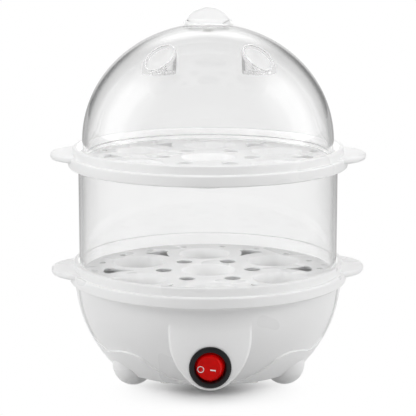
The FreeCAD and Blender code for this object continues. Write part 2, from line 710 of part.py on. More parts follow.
def base_housing():
    """Bowl with raised cradle, ball feet, switch panel and inlet boss, as one moulding."""
    belly = bowl_solid("belly", S.relief, S.bowl_floor_z, S.bowl_rim_z)
    cradle = bowl_solid("cradle", size(0), S.bowl_floor_z, S.bowl_rim_z)
    windows = prism("windows", window_corners(), 2 * skirt_r, midplane=True)
    raised = cut("raised_cradle", cradle, [windows])
    inlet = cylinder("inlet_boss", S.inlet_boss_r, inlet_y / 2, 0, inlet_y / 2, S.inlet_z, ALONG_Y)
    outside = fuse("housing_outside",
                   [belly, raised, tongue_solid("tongue", size(0)), inlet] + foot_balls("foot", S.foot_r))

    hollow_top = S.bowl_rim_z + S.basin_flange
    hollow = turned("housing_hollow", [
        (0, floor_top_z),
        (bowl_r(inner_offset, floor_top_z), floor_top_z),
        (bowl_r(inner_offset, S.bowl_rim_z), S.bowl_rim_z, S.bowl_arc_r - inner_offset, 1),
        (bowl_r(inner_offset, S.bowl_rim_z), hollow_top),
        (0, hollow_top),
    ])
    inlet_hollow = cylinder("inlet_hollow", S.inlet_boss_r - S.bowl_wall,
                            inlet_y / 2 - S.inlet_wall, 0, inlet_y / 2, S.inlet_z, ALONG_Y)
    inside = fuse("housing_inside",
                  [hollow, inlet_hollow, tongue_solid("tongue_hollow", S.tongue_wall)]
                  + foot_balls("foot_hollow", S.foot_r - S.foot_wall))
    ledge_in_r = S.cover_r - S.cover_ledge_w
    ledge_r = S.cover_r + S.cover_gap + S.bowl_wall
    ledge_top_z = cover_top_z + S.cover_ledge_t
    ledge = turned("cover_ledge", [
        (ledge_in_r, S.bowl_floor_z),
        (ledge_r, S.bowl_floor_z),
        (ledge_r, ledge_top_z),
        (ledge_in_r, ledge_top_z),
    ])
    shell = fuse("housing_walls", [cut("housing_shell", outside, [inside]), ledge])

    seat = cylinder("bezel_seat", S.bezel_r + S.skirt_gap, S.bezel_r, 0,
                    -panel_seat_y - S.bezel_r, S.switch_z, ALONG_Y)
    switch_hole = cylinder("switch_hole", S.switch_body_r + S.rocker_gap / 2, panel_r / 2,
                           0, -panel_r - S.bezel_h, S.switch_z, ALONG_Y)
    inlet_hole = cylinder("inlet_hole", S.inlet_hole_r, inlet_y, 0, inlet_y / 2, S.inlet_z, ALONG_Y)
    opening = cylinder("cover_opening", ledge_in_r, cover_top_z, 0, 0, S.bowl_floor_z - S.bowl_floor)
    rebate = cylinder("cover_rebate", S.cover_r + S.cover_gap, S.bowl_floor + S.cover_t,
                      0, 0, S.bowl_floor_z - S.bowl_floor)
    table = block("table", 2 * skirt_r, 2 * skirt_r, S.foot_r, 0, -skirt_r, -S.foot_r)
    screw_ways = [cylinder(f"basin_screw_way_{i}", S.basin_screw_r + S.screw_gap,
                           3 * S.bowl_floor, x, y, S.bowl_floor_z - S.bowl_floor)
                  for i, (x, y) in enumerate(four_places(S.basin_boss_x, S.basin_boss_y))]
    pilots = [cylinder(f"cover_screw_pilot_{i}", S.cover_screw_r, S.cover_ledge_t, x, y, cover_top_z)
              for i, (x, y) in enumerate(cover_screw_places())]
    saddle_pilots = [cylinder(f"saddle_pilot_{i}", S.saddle_screw_r, S.bowl_floor, x,
                              saddle_y, S.bowl_floor_z)
                     for i, x in enumerate((-S.saddle_screw_x, S.saddle_screw_x))]
    tools = [seat, switch_hole, inlet_hole, opening, rebate, table]
    keep("base_housing", cut("housing", shell, tools + screw_ways + pilots + saddle_pilots))


def cord_inlet():
    """Rubber grommet in the inlet's boss, and the clamp that holds the cord inside."""
    flange, neck_r = S.grommet_flange, S.inlet_hole_r
    inner_y = inlet_y - S.inlet_wall - flange
    outline = [
        (S.cord_bore_r, inner_y),
        (S.grommet_flange_r - S.bowl_wall, inner_y),
        (S.grommet_flange_r - S.bowl_wall, inner_y + flange),
        (neck_r, inner_y + flange),
        (neck_r, inlet_y),
        (S.grommet_flange_r, inlet_y),
        (S.grommet_flange_r, inlet_y + flange),
        (S.cord_bore_r + S.bowl_wall, inlet_y + S.grommet_nose),
        (S.cord_bore_r, inlet_y + S.grommet_nose),
    ]
    body = turned("grommet", outline)
    place(body, 0, 0, S.inlet_z, *ALONG_Y)
    keep("cord_grommet", body)

    tunnel_z = floor_top_z + S.saddle_h / 2
    bar = block("saddle_bar", S.saddle_w, S.saddle_d, S.saddle_h, 0,
                saddle_y - S.saddle_d / 2, floor_top_z)
    tunnel = cylinder("saddle_tunnel", S.cord_bore_r, 2 * S.saddle_d, 0,
                      saddle_y - S.saddle_d, tunnel_z, ALONG_Y)
    holes = []
    screws = []
    for index, x in enumerate((-S.saddle_screw_x, S.saddle_screw_x)):
        holes.append(cylinder(f"saddle_hole_{index}", S.saddle_screw_r + S.screw_gap,
                              2 * S.saddle_h, x, saddle_y, S.bowl_floor_z))
        shank = cylinder(f"saddle_shank_{index}", S.saddle_screw_r,
                         S.saddle_h + S.bowl_floor, x, saddle_y, S.bowl_floor_z)
        head = cylinder(f"saddle_head_{index}", S.pan_head_r, S.pan_head_h, x, saddle_y,
                        floor_top_z + S.saddle_h)
        screws.append(fuse(f"saddle_screw_{index}", [shank, head]))
    keep("cord_clamp", cut("saddle", bar, [tunnel] + holes))
    keep("cord_clamp_screws", group("saddle_screws", screws))


# ------------------------------------------------------------------------------------------
# Rocker switch
# ------------------------------------------------------------------------------------------
def rocker_switch():
    """Round snap-in switch: body with bezel, rocker, lamp, contact and tabs."""
    seat_y = -panel_seat_y
    front_y = seat_y - S.bezel_h
    rear_y = seat_y + S.switch_body_l
    aperture_r = S.rocker_r + S.rocker_gap
    flat_ring = cylinder("bezel_base", S.bezel_r, S.bezel_h / 2, 0, seat_y - S.bezel_h / 2,
                         S.switch_z, ALONG_Y)
    sloping_ring = cone("bezel_slope", S.bezel_r - S.bezel_lip, S.bezel_r, S.bezel_h / 2, 0,
                        front_y, S.switch_z, ALONG_Y)
    barrel = cylinder("switch_barrel", S.switch_body_r, S.switch_body_l, 0, seat_y, S.switch_z, ALONG_Y)
    aperture = cylinder("switch_aperture", aperture_r, S.switch_body_l + S.bezel_h - S.bezel_lip,
                        0, front_y, S.switch_z, ALONG_Y)
    seat_reach = S.rocker_r + S.trunnion_l + S.rocker_gap
    trunnion_seat = cylinder("trunnion_seat", S.trunnion_r + S.trunnion_fit, 2 * seat_reach,
                             0, -pivot_y, S.switch_z - seat_reach)
    keep("switch_body", cut("switch_housing", fuse("switch_outside", [flat_ring, sloping_ring, barrel]),
                            [aperture, trunnion_seat]))

    ball = sphere("rocker_ball", S.rocker_r, 0, 0, 0)
    slab = block("rocker_slab", 4 * S.rocker_r, S.rocker_face + S.rocker_back,
                 4 * S.rocker_r, 0, -S.rocker_face, -2 * S.rocker_r)
    reach = S.rocker_r + S.trunnion_l
    pins = cylinder("rocker_trunnions", S.trunnion_r, 2 * reach, 0, 0, -reach)
    rocker = fuse("rocker", [common("rocker_button", [ball, slab]), pins])
    keep("switch_rocker", place(rocker, 0, -pivot_y, S.switch_z, Vector(0, 0, 1), -half_throw))

    lamp_y = rear_y - S.bezel_lip - S.lamp_r - 2 * S.rocker_gap
    keep("neon_lamp", cylinder("lamp", S.lamp_r, S.lamp_l, S.tab_pitch / 2, lamp_y,
                               S.switch_z - S.lamp_l / 2))
    inner_y = rear_y - S.bezel_lip - 2 * S.lamp_r
    keep("switch_contact", block("contact", S.tab_t, 2 * S.lamp_r + S.rocker_gap, S.tab_w,
                                 -S.tab_pitch / 2, inner_y - S.rocker_gap, S.switch_z - S.tab_w / 2))
    tabs = [block(f"switch_tab_{i}", S.tab_t, S.tab_l, S.tab_w, x, rear_y, S.switch_z - S.tab_w / 2)
            for i, x in enumerate((-S.tab_pitch, size(0), S.tab_pitch))]
    keep("switch_tabs", group("switch_tab_set", tabs))


# ------------------------------------------------------------------------------------------
# Egg trays, clear ring and lid
# ------------------------------------------------------------------------------------------
def tray_profile():
    """Half section of a tray with its middle egg cup, from the skirt's foot up."""
    under, top = S.plate_h - S.plate_t, S.plate_h
    foot = S.plate_h - S.cup_h
    return [
        (S.cup_foot_r, foot),
        (S.cup_foot_r + S.cup_wall, foot),
        (S.egg_r + S.cup_wall, under),
        (rib_r - S.rib_wall, under),
        (rib_r - S.rib_wall, under - S.rib_h),
        (rib_r, under - S.rib_h),
        (rib_r, under),
        (skirt_in_r, under),
        (skirt_in_r, 0),
        (skirt_r, 0),
        (skirt_r, S.ledge_h),
        (collar_r, S.ledge_h),
        (collar_r, S.collar_h),
        (collar_in_r, S.collar_h),
        (collar_in_r, top),
        (S.egg_r + S.egg_lip, top),
        (S.egg_r, top - S.egg_lip),
    ]


def arrow_corners():
    """One arrow-shaped steam hole, pointing at the middle, on the +X axis."""
    flank_r = S.egg_r + S.arrow_web
    half_angle = 180 / S.egg_count
    egg_x, egg_y = at_angle(S.egg_pitch_r, half_angle)
    tip_x, wide_x = egg_x + S.arrow_tip_out, egg_x + S.arrow_wide_out
    end_x, end_y = egg_x + S.arrow_end_out, S.arrow_end_half_w
    tip_y = egg_y - leg(flank_r, S.arrow_tip_out)
    wide_y = egg_y - leg(flank_r, S.arrow_wide_out)
    return [
        (tip_x, tip_y, flank_r, -1),
        (tip_x, -tip_y),
        (wide_x, -wide_y, flank_r, -1),
        (end_x, -end_y),
        (end_x, end_y, S.arrow_end_arc_r, 1),
        (wide_x, wide_y),
    ]


def egg_tray(name, height, turn):
    """A tray with seven egg cups, steam holes, a collar and two carrying ears."""
    disc = turned(name + "_disc", tray_profile())
    skirt_top, collar_top = S.ledge_h.number, S.collar_h.number
    rims = [(skirt_r.number, skirt_top), (collar_r.number, collar_top),
            (collar_in_r.number, collar_top), (skirt_r.number, 0)]
    round_edges(disc, disc.Tip, name + "_rounded", S.edge_round,
                lambda edge: any(is_rim(edge, r, z) for r, z in rims))

    cup_walls, cup_cuts = [], []
    foot = S.plate_h - S.cup_h
    under = S.plate_h - S.plate_t
    for index in range(int(S.egg_count.number)):
        x, y = at_angle(S.egg_pitch_r, (index + 0.5) * 360 / S.egg_count)
        cup_walls.append(cone(f"{name}_cup_{index}", S.cup_foot_r + S.cup_wall,
                              S.egg_r + S.cup_wall, under - foot, x, y, foot))
        cup_cuts.append(cone(f"{name}_egg_{index}", S.cup_foot_r, S.egg_r, S.cup_h - S.egg_lip,
                             x, y, foot))
        cup_cuts.append(cone(f"{name}_lip_{index}", S.egg_r, S.egg_r + S.egg_lip, S.egg_lip,
                             x, y, S.plate_h - S.egg_lip))

    holes = new_body(name + "_holes")
    sketch = sketch_on(holes, "XY_Plane", name + "_hole_sketch")
    draw_circle(sketch, S.round_hole_pitch_r, 0, S.round_hole_r)
    draw_outline(sketch, arrow_corners())
    for angle in (size(0), 180 / S.egg_count - S.pin_hole_angle, 180 / S.egg_count + S.pin_hole_angle):
        draw_circle(sketch, *at_angle(S.pin_hole_pitch_r, angle), S.pin_hole_r)
    around(holes, [pad(holes, sketch, name + "_hole_pins", S.collar_h)], name + "_hole_ring",
           S.egg_count)

    ears = new_body(name + "_ears")
    root_r = collar_r - S.ear_root
    meet_x = (root_r * root_r - S.ear_r * S.ear_r + ear_x * ear_x) / (2 * ear_x)
    meet_y = leg(root_r, meet_x)
    ear_sketch = sketch_on(ears, "XY_Plane", name + "_ear_sketch", S.ear_z)
    draw_outline(ear_sketch, [(meet_x, meet_y, S.ear_r, 1), (meet_x, -meet_y, root_r, -1)])
    ear_pad = pad(ears, ear_sketch, name + "_ear", S.ear_t)
    tip_x = (ear_x + S.ear_r).number
    rounded = round_edges(ears, ear_pad, name + "_ear_rounded", S.ear_round,
                          lambda edge: edge.BoundBox.XMax > tip_x - 1 and edge.BoundBox.ZLength < 0.1)
    around(ears, [ear_pad, rounded], name + "_ear_pair", 2)

    solid = fuse(name + "_solid", [disc, ears] + cup_walls)
    tray = cut(name + "_cut", solid, cup_cuts + [holes])
    keep(name, place(tray, 0, 0, height, Vector(0, 0, 1), turn))


def steam_ring():
    """The clear cylinder between the two trays."""
    ring = turned("ring", [
        (ring_r - S.ring_wall, 0),
        (ring_r, 0),
        (ring_r, S.ring_h),
        (ring_r - S.ring_wall, S.ring_h),
    ])
    keep("steamer_ring", place(ring, 0, 0, ring_z))


def dome_solid(name, inset, bottom):
    """The dome filled solid, with its surface moved in by a wall."""
    radius = dome_r - inset
    cap = ellipsoid(name + "_cap", S.dome_rise - inset, radius, radius, dome_centre_z, True)
    foot = cylinder(name + "_foot", radius, dome_centre_z - bottom, 0, 0, bottom)
    return fuse(name, [cap, foot])


def vent_places():
    """The two steam vents, mirror images on either side of the front."""
    x = S.vent_pitch_r * sine(S.vent_angle)
    y = -(S.vent_pitch_r * cosine(S.vent_angle))
    return [(-x, y), (x, y)]


def dome_cover():
    """Clear dome with a bead round its foot and two sunken steam vents."""
    floor_z = dome_z + S.vent_floor_h
    bead = cylinder("dome_bead", ring_r, S.dome_bead_h, 0, 0, dome_z)
    outside = fuse("dome_outside", [dome_solid("dome_outer", size(0), dome_z), bead])
    shell = cut("dome_shell", outside, [dome_solid("dome_inner", S.dome_wall, dome_z - S.dome_wall)])
    wells, cavities = [], []
    for index, (x, y) in enumerate(vent_places()):
        wells.append(cone(f"vent_well_{index}", S.vent_floor_r + S.vent_wall,
                          S.vent_mouth_r + S.vent_wall, S.vent_top + S.vent_wall, x, y,
                          floor_z - S.vent_wall))
        cavities.append(cone(f"vent_cavity_{index}", S.vent_floor_r, S.vent_mouth_r, S.vent_top,
                             x, y, floor_z))
        for hole in range(int(S.vent_hole_count.number)):
            step_x, step_y = at_angle(S.vent_hole_pitch_r, hole * 360 / S.vent_hole_count)
            cavities.append(cylinder(f"vent_{index}_hole_{hole}", S.vent_hole_r, 4 * S.vent_wall,
                                     x + step_x, y + step_y, floor_z - 2 * S.vent_wall))
    trimmed = [common(f"vent_wall_{i}", [well, dome_solid(f"vent_limit_{i}", size(0), dome_z)])
               for i, well in enumerate(wells)]
    screw_way = cylinder("knob_screw_way", S.knob_screw_r + S.screw_gap, 3 * S.dome_wall,
                         0, 0, dome_top_z - 2 * S.dome_wall)
    keep("dome_cover", cut("dome", fuse("dome_walls", [shell] + trimmed), cavities + [screw_way]))


def lid_knob():
    """Upright half-round grip on an oval foot, with its screw and washer under the dome."""
    centre_z = dome_top_z + S.knob_rise - S.knob_r
    fin = cylinder("knob_fin", S.knob_r, S.knob_t, 0, -(S.knob_t / 2), centre_z, ALONG_Y)
    mound = ellipsoid("knob_mound", S.mound_z, S.mound_x, S.mound_y, dome_top_z - S.mound_drop)
    band_z = dome_top_z + S.knob_band
    recesses = []
    for index, y in enumerate((-(S.knob_t / 2), S.knob_t / 2 - S.knob_recess)):
        disc = cylinder(f"knob_recess_{index}", S.knob_r - S.knob_rim, S.knob_recess, 0, y,
                        centre_z, ALONG_Y)
        above = block(f"knob_above_{index}", 2 * S.knob_r, S.knob_recess, S.knob_r, 0, y, band_z)
        recesses.append(common(f"knob_face_{index}", [disc, above]))
    dome = dome_solid("knob_underside", size(0), dome_z)
    pilot = cylinder("knob_pilot", S.knob_screw_r, S.knob_screw_l, 0, 0, dome_top_z - S.dome_wall)
    keep("lid_knob", cut("knob", fuse("knob_outside", [fin, mound]), recesses + [dome, pilot]))

    reach = S.washer_r / (dome_r - S.dome_wall)
    washer_top_z = dome_centre_z + (S.dome_rise - S.dome_wall) * leg(size(1), reach)
    washer = cylinder("washer_disc", S.washer_r, S.washer_t, 0, 0, washer_top_z - S.washer_t)
    washer_hole = cylinder("washer_hole", S.knob_screw_r + S.screw_gap, 2 * S.washer_t, 0, 0,
                           washer_top_z - 2 * S.washer_t)
    keep("knob_washer", cut("washer", washer, [washer_hole]))
    head_z = washer_top_z - S.washer_t - S.pan_head_h
    head = cylinder("knob_screw_head", S.pan_head_r, S.pan_head_h, 0, 0, head_z)
    shank = cylinder("knob_screw_shank", S.knob_screw_r, S.knob_screw_l, 0, 0, head_z + S.pan_head_h)
    keep("knob_screw", fuse("knob_screw_solid", [head, shank]))


# ------------------------------------------------------------------------------------------
# Water basin and heater
# ------------------------------------------------------------------------------------------
basin_lip_r = rib_r + S.basin_gap
basin_under_z = S.basin_floor_z - S.basin_flange
plate_z = S.basin_floor_z + S.gasket_t
plate_r = S.basin_hole_r + S.gasket_w
dish_r = S.basin_hole_r - S.dish_gap
dish_under_z = plate_z - S.dish_depth - S.sheet_t
element_z = dish_under_z - S.element_h
strap_z = element_z - S.strap_t


def water_basin():
    """Plastic funnel that holds the water, with bosses for the screws that hold it down."""
    half_wall = S.basin_wall
    outside = turned("basin_outside", [
        (0, basin_under_z),
        (S.basin_floor_r + half_wall, basin_under_z),
        (basin_lip_r + half_wall, S.basin_lip_z),
        (basin_lip_r + half_wall, S.bowl_rim_z),
        (S.bowl_rim_r - S.skirt_gap, S.bowl_rim_z),
        (S.bowl_rim_r - S.skirt_gap, seat_z),
        (0, seat_z),
    ])
    bosses = [cylinder(f"basin_boss_{i}", S.basin_boss_r, S.basin_lip_z - floor_top_z - S.basin_boss_r,
                       x, y, floor_top_z)
              for i, (x, y) in enumerate(four_places(S.basin_boss_x, S.basin_boss_y))]
    water = turned("basin_water", [
        (0, S.basin_floor_z),
        (S.basin_floor_r, S.basin_floor_z),
        (basin_lip_r, S.basin_lip_z),
        (basin_lip_r, seat_z + S.basin_flange),
        (0, seat_z + S.basin_flange),
    ])
    hole = cylinder("basin_hole", S.basin_hole_r, S.basin_lip_z, 0, 0, floor_top_z)
    pilots = [cylinder(f"basin_pilot_{i}", S.basin_screw_r, S.basin_screw_l, x, y, floor_top_z)
              for i, (x, y) in enumerate(four_places(S.basin_boss_x, S.basin_boss_y))]
    keep("water_basin", cut("basin", fuse("basin_solid", [outside] + bosses), [water, hole] + pilots))

    screws = []
    for index, (x, y) in enumerate(four_places(S.basin_boss_x, S.basin_boss_y)):
        shank = cylinder(f"basin_shank_{index}", S.basin_screw_r, S.basin_screw_l, x, y, S.bowl_floor_z)
        head = cylinder(f"basin_head_{index}", S.pan_head_r, S.pan_head_h, x, y,
                        S.bowl_floor_z - S.pan_head_h)
        screws.append(fuse(f"basin_screw_{index}", [shank, head]))
    keep("basin_screws", group("basin_screw_set", screws))


def stud_places():
    """Where the four studs stand."""
    return [at_angle(S.stud_pitch_r, quarter * 90) for quarter in range(4)]


def nuts(name, places, top_z):
    """Hexagon nuts on studs, with their upper faces at a height."""
    solids = []
    for index, (x, y) in enumerate(places):
        prism_solid = doc.addObject("Part::Prism", f"{name}_hex_{index}")
        prism_solid.Polygon = 6
        bind(prism_solid, "Circumradius", S.nut_r)
        bind(prism_solid, "Height", S.nut_h)
        place(prism_solid, x, y, top_z - S.nut_h)
        thread = cylinder(f"{name}_thread_{index}", S.stud_r, 3 * S.nut_h, x, y, top_z - 2 * S.nut_h)
        solids.append(cut(f"{name}_{index}", prism_solid, [thread]))
    return solids


def heater():
    """Heating plate on its gasket, with the element, thermostat and fuse clamped under it."""
    keep("plate_gasket", turned("gasket", [
        (S.basin_hole_r, S.basin_floor_z),
        (plate_r, S.basin_floor_z),
        (plate_r, plate_z),
        (S.basin_hole_r, plate_z),
    ]))
    keep("heating_plate", turned("plate", [
        (0, dish_under_z),
        (dish_r - S.dish_slope, dish_under_z),
        (dish_r, plate_z),
        (plate_r, plate_z),
        (plate_r, plate_z + S.sheet_t),
        (dish_r - S.sheet_t, plate_z + S.sheet_t),
        (dish_r - S.dish_slope - S.sheet_t, dish_under_z + S.sheet_t),
        (0, dish_under_z + S.sheet_t),
    ]))
    studs = [cylinder(f"stud_{i}", S.stud_r, S.stud_l, x, y, dish_under_z - S.stud_l)
             for i, (x, y) in enumerate(stud_places())]
    keep("plate_studs", group("stud_set", studs))
    stud_holes = [cylinder(f"stud_hole_{i}", S.stud_r + S.stud_gap, 3 * S.stud_l, x, y,
                           dish_under_z - 2 * S.stud_l)
                  for i, (x, y) in enumerate(stud_places())]
    clamp = turned("clamp_disc", [
        (S.clamp_hole_r, basin_under_z - S.clamp_t),
        (S.clamp_r, basin_under_z - S.clamp_t),
        (S.clamp_r, basin_under_z),
        (S.clamp_hole_r, basin_under_z),
    ])
    keep("clamp_ring", cut("clamp", clamp, stud_holes))
    strap_x = 2 * (S.stud_pitch_r + S.strap_end)
    strap = block("strap_bar", strap_x, S.strap_w, S.strap_t, 0, -(S.strap_w / 2), strap_z)
    strap_holes = [cylinder(f"strap_hole_{i}", S.stud_r + S.stud_gap, 3 * S.strap_t,
                            side * S.stud_pitch_r, 0, strap_z - S.strap_t)
                   for i, side in enumerate((-1, 1))]
    keep("element_strap", cut("strap", strap, strap_holes))
    ring_nuts = nuts("ring_nut", stud_places(), basin_under_z - S.clamp_t)
    strap_nuts = nuts("strap_nut", [stud_places()[0], stud_places()[2]], strap_z)
    keep("stud_nuts", group("nut_set", ring_nuts + strap_nuts))

    element = cylinder("element_disc", S.element_r, S.element_h, 0, 0, element_z)
    element_hole = cylinder("element_hole", S.element_hole_r, 3 * S.element_h, 0, 0,
                            element_z - S.element_h)
    keep("heating_element", cut("element", element, [element_hole]))
    element_tabs = [block(f"element_tab_{i}", S.tab_t, S.tab_w, S.tab_l, side * S.element_tab_x,
                          -side * S.element_tab_y - S.tab_w / 2, element_z - S.tab_l)
                    for i, side in enumerate((-1, 1))]
    keep("element_tabs", group("element_tab_set", element_tabs))

    keep("thermostat", cylinder("thermostat_can", S.thermostat_r, S.element_h, 0, 0, element_z))
    thermostat_tabs = [block(f"thermostat_tab_{i}", S.tab_w, S.tab_t, S.tab_l, 0,
                             side * S.thermostat_tab_y - S.tab_t / 2, element_z - S.tab_l)
                       for i, side in enumerate((-1, 1))]
    keep("thermostat_tabs", group("thermostat_tab_set", thermostat_tabs))

    fuse_z = element_z - S.fuse_drop
    sleeve_in_r = S.fuse_r + S.sleeve_gap
    sleeve_r = sleeve_in_r + S.sleeve_wall
    keep("thermal_fuse", cylinder("fuse_can", S.fuse_r, S.fuse_l, -(S.fuse_l / 2), S.fuse_y,
                                  fuse_z, ALONG_X))
    sleeve = cylinder("sleeve_tube", sleeve_r, S.sleeve_l, -(S.sleeve_l / 2), S.fuse_y, fuse_z, ALONG_X)
    sleeve_bore = cylinder("sleeve_bore", sleeve_in_r, 2 * S.sleeve_l, -S.sleeve_l, S.fuse_y,
                           fuse_z, ALONG_X)
    keep("fuse_sleeve", cut("sleeve", sleeve, [sleeve_bore]))
    clip_in_r = sleeve_r + S.sleeve_gap
    clip_r = clip_in_r + S.clip_t
    bend = cylinder("clip_bend", clip_r, S.clip_l, -(S.clip_l / 2), S.fuse_y, fuse_z, ALONG_X)
    legs = block("clip_legs", S.clip_l, 2 * clip_r, S.fuse_drop, 0, S.fuse_y - clip_r, fuse_z)
    clip_bore = cylinder("clip_bore", clip_in_r, 2 * S.clip_l, -S.clip_l, S.fuse_y, fuse_z, ALONG_X)
    clip_gap = block("clip_gap", 2 * S.clip_l, 2 * clip_in_r, 2 * S.fuse_drop, 0,
                     S.fuse_y - clip_in_r, fuse_z)
    keep("fuse_clip", cut("clip", fuse("clip_outside", [bend, legs]), [clip_bore, clip_gap]))


# ------------------------------------------------------------------------------------------
# Bottom cover, terminal block and internal leads
# ------------------------------------------------------------------------------------------
def cover_screw_places():
    """Where the bottom cover's screws go."""
    count = S.cover_screw_count
    return [at_angle(S.cover_screw_pitch_r, 90 + index * 360 / count)
            for index in range(int(count.number))]


def bottom_cover():
    """Round cover with air slots, held by sunk screws."""
    disc = cylinder("cover_disc", S.cover_r, S.cover_t, 0, 0, S.bowl_floor_z)
    slots = new_body("cover_slots")
    sketch = sketch_on(slots, "XY_Plane", "slot_sketch", S.bowl_floor_z - S.cover_t)
    near, far = S.slot_pitch_r, S.slot_pitch_r + S.slot_l
    half = S.slot_w / 2
    draw_outline(sketch, [(near, -half), (far, -half), (far, half), (near, half)])
    around(slots, [pad(slots, sketch, "slot_pad", 3 * S.cover_t)], "slot_ring", S.slot_count)
    ways, sinks, screws = [], [], []
    for index, (x, y) in enumerate(cover_screw_places()):
        ways.append(cylinder(f"cover_way_{index}", S.cover_screw_r + S.screw_gap, 3 * S.cover_t,
                             x, y, S.bowl_floor_z - S.cover_t))
        sinks.append(cylinder(f"cover_sink_{index}", S.cover_screw_head_r + S.screw_gap,
                              S.cover_t + S.cover_screw_head_h, x, y, S.bowl_floor_z - S.cover_t))
        head = cylinder(f"cover_head_{index}", S.cover_screw_head_r, S.cover_screw_head_h,
                        x, y, S.bowl_floor_z)
        shank = cylinder(f"cover_shank_{index}", S.cover_screw_r, S.cover_screw_l, x, y, S.bowl_floor_z)
        screws.append(fuse(f"cover_screw_{index}", [head, shank]))
    keep("bottom_cover", cut("cover", disc, [slots] + ways + sinks))
    keep("bottom_cover_screws", group("cover_screw_set", screws))


def block_entries():
    """Where the leads enter the terminal block, from left to right."""
    return [(step - 1.5) * S.block_pitch for step in range(4)]


entry_z = cover_top_z + S.block_h / 2


def terminal_block():
    """Terminal block on the bottom cover, with its clamping screws."""
    body = block("terminal_body", S.block_w, S.block_d, S.block_h, 0, S.block_y, cover_top_z)
    tools, screws = [], []
    for index, x in enumerate(block_entries()):
        tools.append(cylinder(f"entry_{index}", S.block_hole_r, S.block_hole_l, x, S.block_y,
                              entry_z, ALONG_Y))
        screw_y = S.block_y + S.block_d / 2
        depth = S.block_h / 3
        top_z = cover_top_z + S.block_h
        tools.append(cylinder(f"screw_well_{index}", S.block_screw_r, S.block_h, x, screw_y,
                              top_z - depth))
        screws.append(cylinder(f"terminal_screw_{index}", S.block_screw_r, depth / 2, x, screw_y,
                               top_z - depth))
    keep("terminal_block", cut("terminal", body, tools))
    keep("terminal_screws", group("terminal_screw_set", screws))


def lead(name, points):
    """An insulated lead along straight runs joined by arcs as large as the runs allow."""
    spots = [Vector(*(size(value).number for value in point)) for point in points]
    edges = []
    here = spots[0]
    for before, corner, after in zip(spots, spots[1:], spots[2:]):
        inward, outward = corner - before, after - corner
        turn = inward.getAngle(outward)
        reach = 0.45 * min(inward.Length, outward.Length)
        start = corner - inward.normalize() * reach
        finish = corner + outward.normalize() * reach
        radius = reach / math.tan(turn / 2)
        to_centre = (outward - inward).normalize() * (radius / math.cos(turn / 2))
        middle = corner + to_centre - (outward - inward).normalize() * radius
        edges.append(Part.LineSegment(here, start).toShape())
        edges.append(Part.Arc(start, middle, finish).toShape())
        here = finish
    edges.append(Part.LineSegment(here, spots[-1]).toShape())
    path = Part.Wire(edges)
    along = spots[1] - spots[0]
    ring = Part.Wire(Part.makeCircle(S.lead_r.number, spots[0], along))
    solid = path.makePipeShell([ring], True, False)
    expected = math.pi * S.lead_r.number ** 2 * path.Length
    if abs(solid.Volume / expected - 1) > 0.01:
        raise RuntimeError(f"{name} has the wrong volume")
    item = doc.addObject("Part::Feature", name + "_solid")
    item.Shape = solid
    keep(name, item)


def leads():
    """Leads from the terminal block to the switch, thermostat, element, fuse and earth stud."""
    earth_x, live_x, lamp_x, neutral_x = block_entries()
    tab_end_y = S.switch_body_l + S.tab_l - panel_seat_y
    drop_y = tab_end_y + S.tab_l
    tab_end_z = element_z - S.tab_l
    low_z = tab_end_z - S.lead_r * 3
    lower_z = tab_end_z - S.lead_r * 5
    fuse_z = element_z - S.fuse_drop
    fuse_end = S.fuse_l / 2
    tab_x, tab_y = S.element_tab_x, S.element_tab_y

    for name, start_x, end_x in (("lead_live", live_x, -S.tab_pitch), ("lead_lamp", lamp_x, S.tab_pitch)):
        lead(name, [
            (start_x, S.block_y, entry_z),
            (start_x, drop_y + S.tab_l, entry_z),
            (end_x, drop_y, S.switch_z),
            (end_x, tab_end_y, S.switch_z),
        ])
    lead("lead_switched", [
        (0, tab_end_y, S.switch_z),
        (0, drop_y, S.switch_z),
        (0, -(3 * S.thermostat_tab_y), lower_z),
        (0, -S.thermostat_tab_y, lower_z),
        (0, -S.thermostat_tab_y, tab_end_z),
    ])
    lead("lead_to_element", [
        (0, S.thermostat_tab_y, tab_end_z),
        (0, S.thermostat_tab_y, low_z),
        (tab_x, -tab_y, low_z),
        (tab_x, -tab_y, tab_end_z),
    ])
    lead("lead_to_fuse", [
        (-tab_x, tab_y, tab_end_z),
        (-tab_x, tab_y, low_z),
        (-tab_x - S.tab_l, S.fuse_y, low_z),
        (-tab_x - S.tab_l, S.fuse_y, fuse_z),
        (-fuse_end, S.fuse_y, fuse_z),
    ])
    lead("lead_neutral", [
        (fuse_end, S.fuse_y, fuse_z),
        (tab_x + S.tab_l, S.fuse_y, fuse_z),
        (tab_x + S.tab_l, S.thermostat_tab_y, entry_z),
        (neutral_x, S.block_y / 3, entry_z),
        (neutral_x, S.block_y, entry_z),
    ])
    lead("lead_earth", [
        (earth_x, S.block_y, entry_z),
        (earth_x, S.block_y / 2, entry_z),
        (-S.stud_pitch_r, 0, entry_z),
        (-S.stud_pitch_r, 0, dish_under_z - S.stud_l),
    ])


# ------------------------------------------------------------------------------------------
# Build, check and write every sub-part
# ------------------------------------------------------------------------------------------
base_housing()
cord_inlet()
rocker_switch()
egg_tray("lower_egg_tray", lower_tray_z, S.lower_turn)
egg_tray("upper_egg_tray", upper_tray_z, S.upper_turn)
steam_ring()
dome_cover()
lid_knob()
water_basin()
heater()
bottom_cover()
terminal_block()
leads()
doc.recompute()

failed = [item.Name for item in doc.Objects if {"Invalid", "Error"} & set(item.State)]
if failed:
    raise RuntimeError(f"these objects failed: {failed}")
for name, item in parts.items():
    if item.Shape.isNull() or not item.Shape.isValid() or not item.Shape.Solids:
        raise RuntimeError(f"{name} has no valid solid")

os.makedirs("parts", exist_ok=True)
for name, item in parts.items():
    item.Shape.exportStep(f"parts/{name}.step")
print(f"wrote {len(parts)} sub-parts")
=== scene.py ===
"""Looks of a two-tier electric egg cooker, modelled round its frame. Metres, +Z up, front at -Y."""

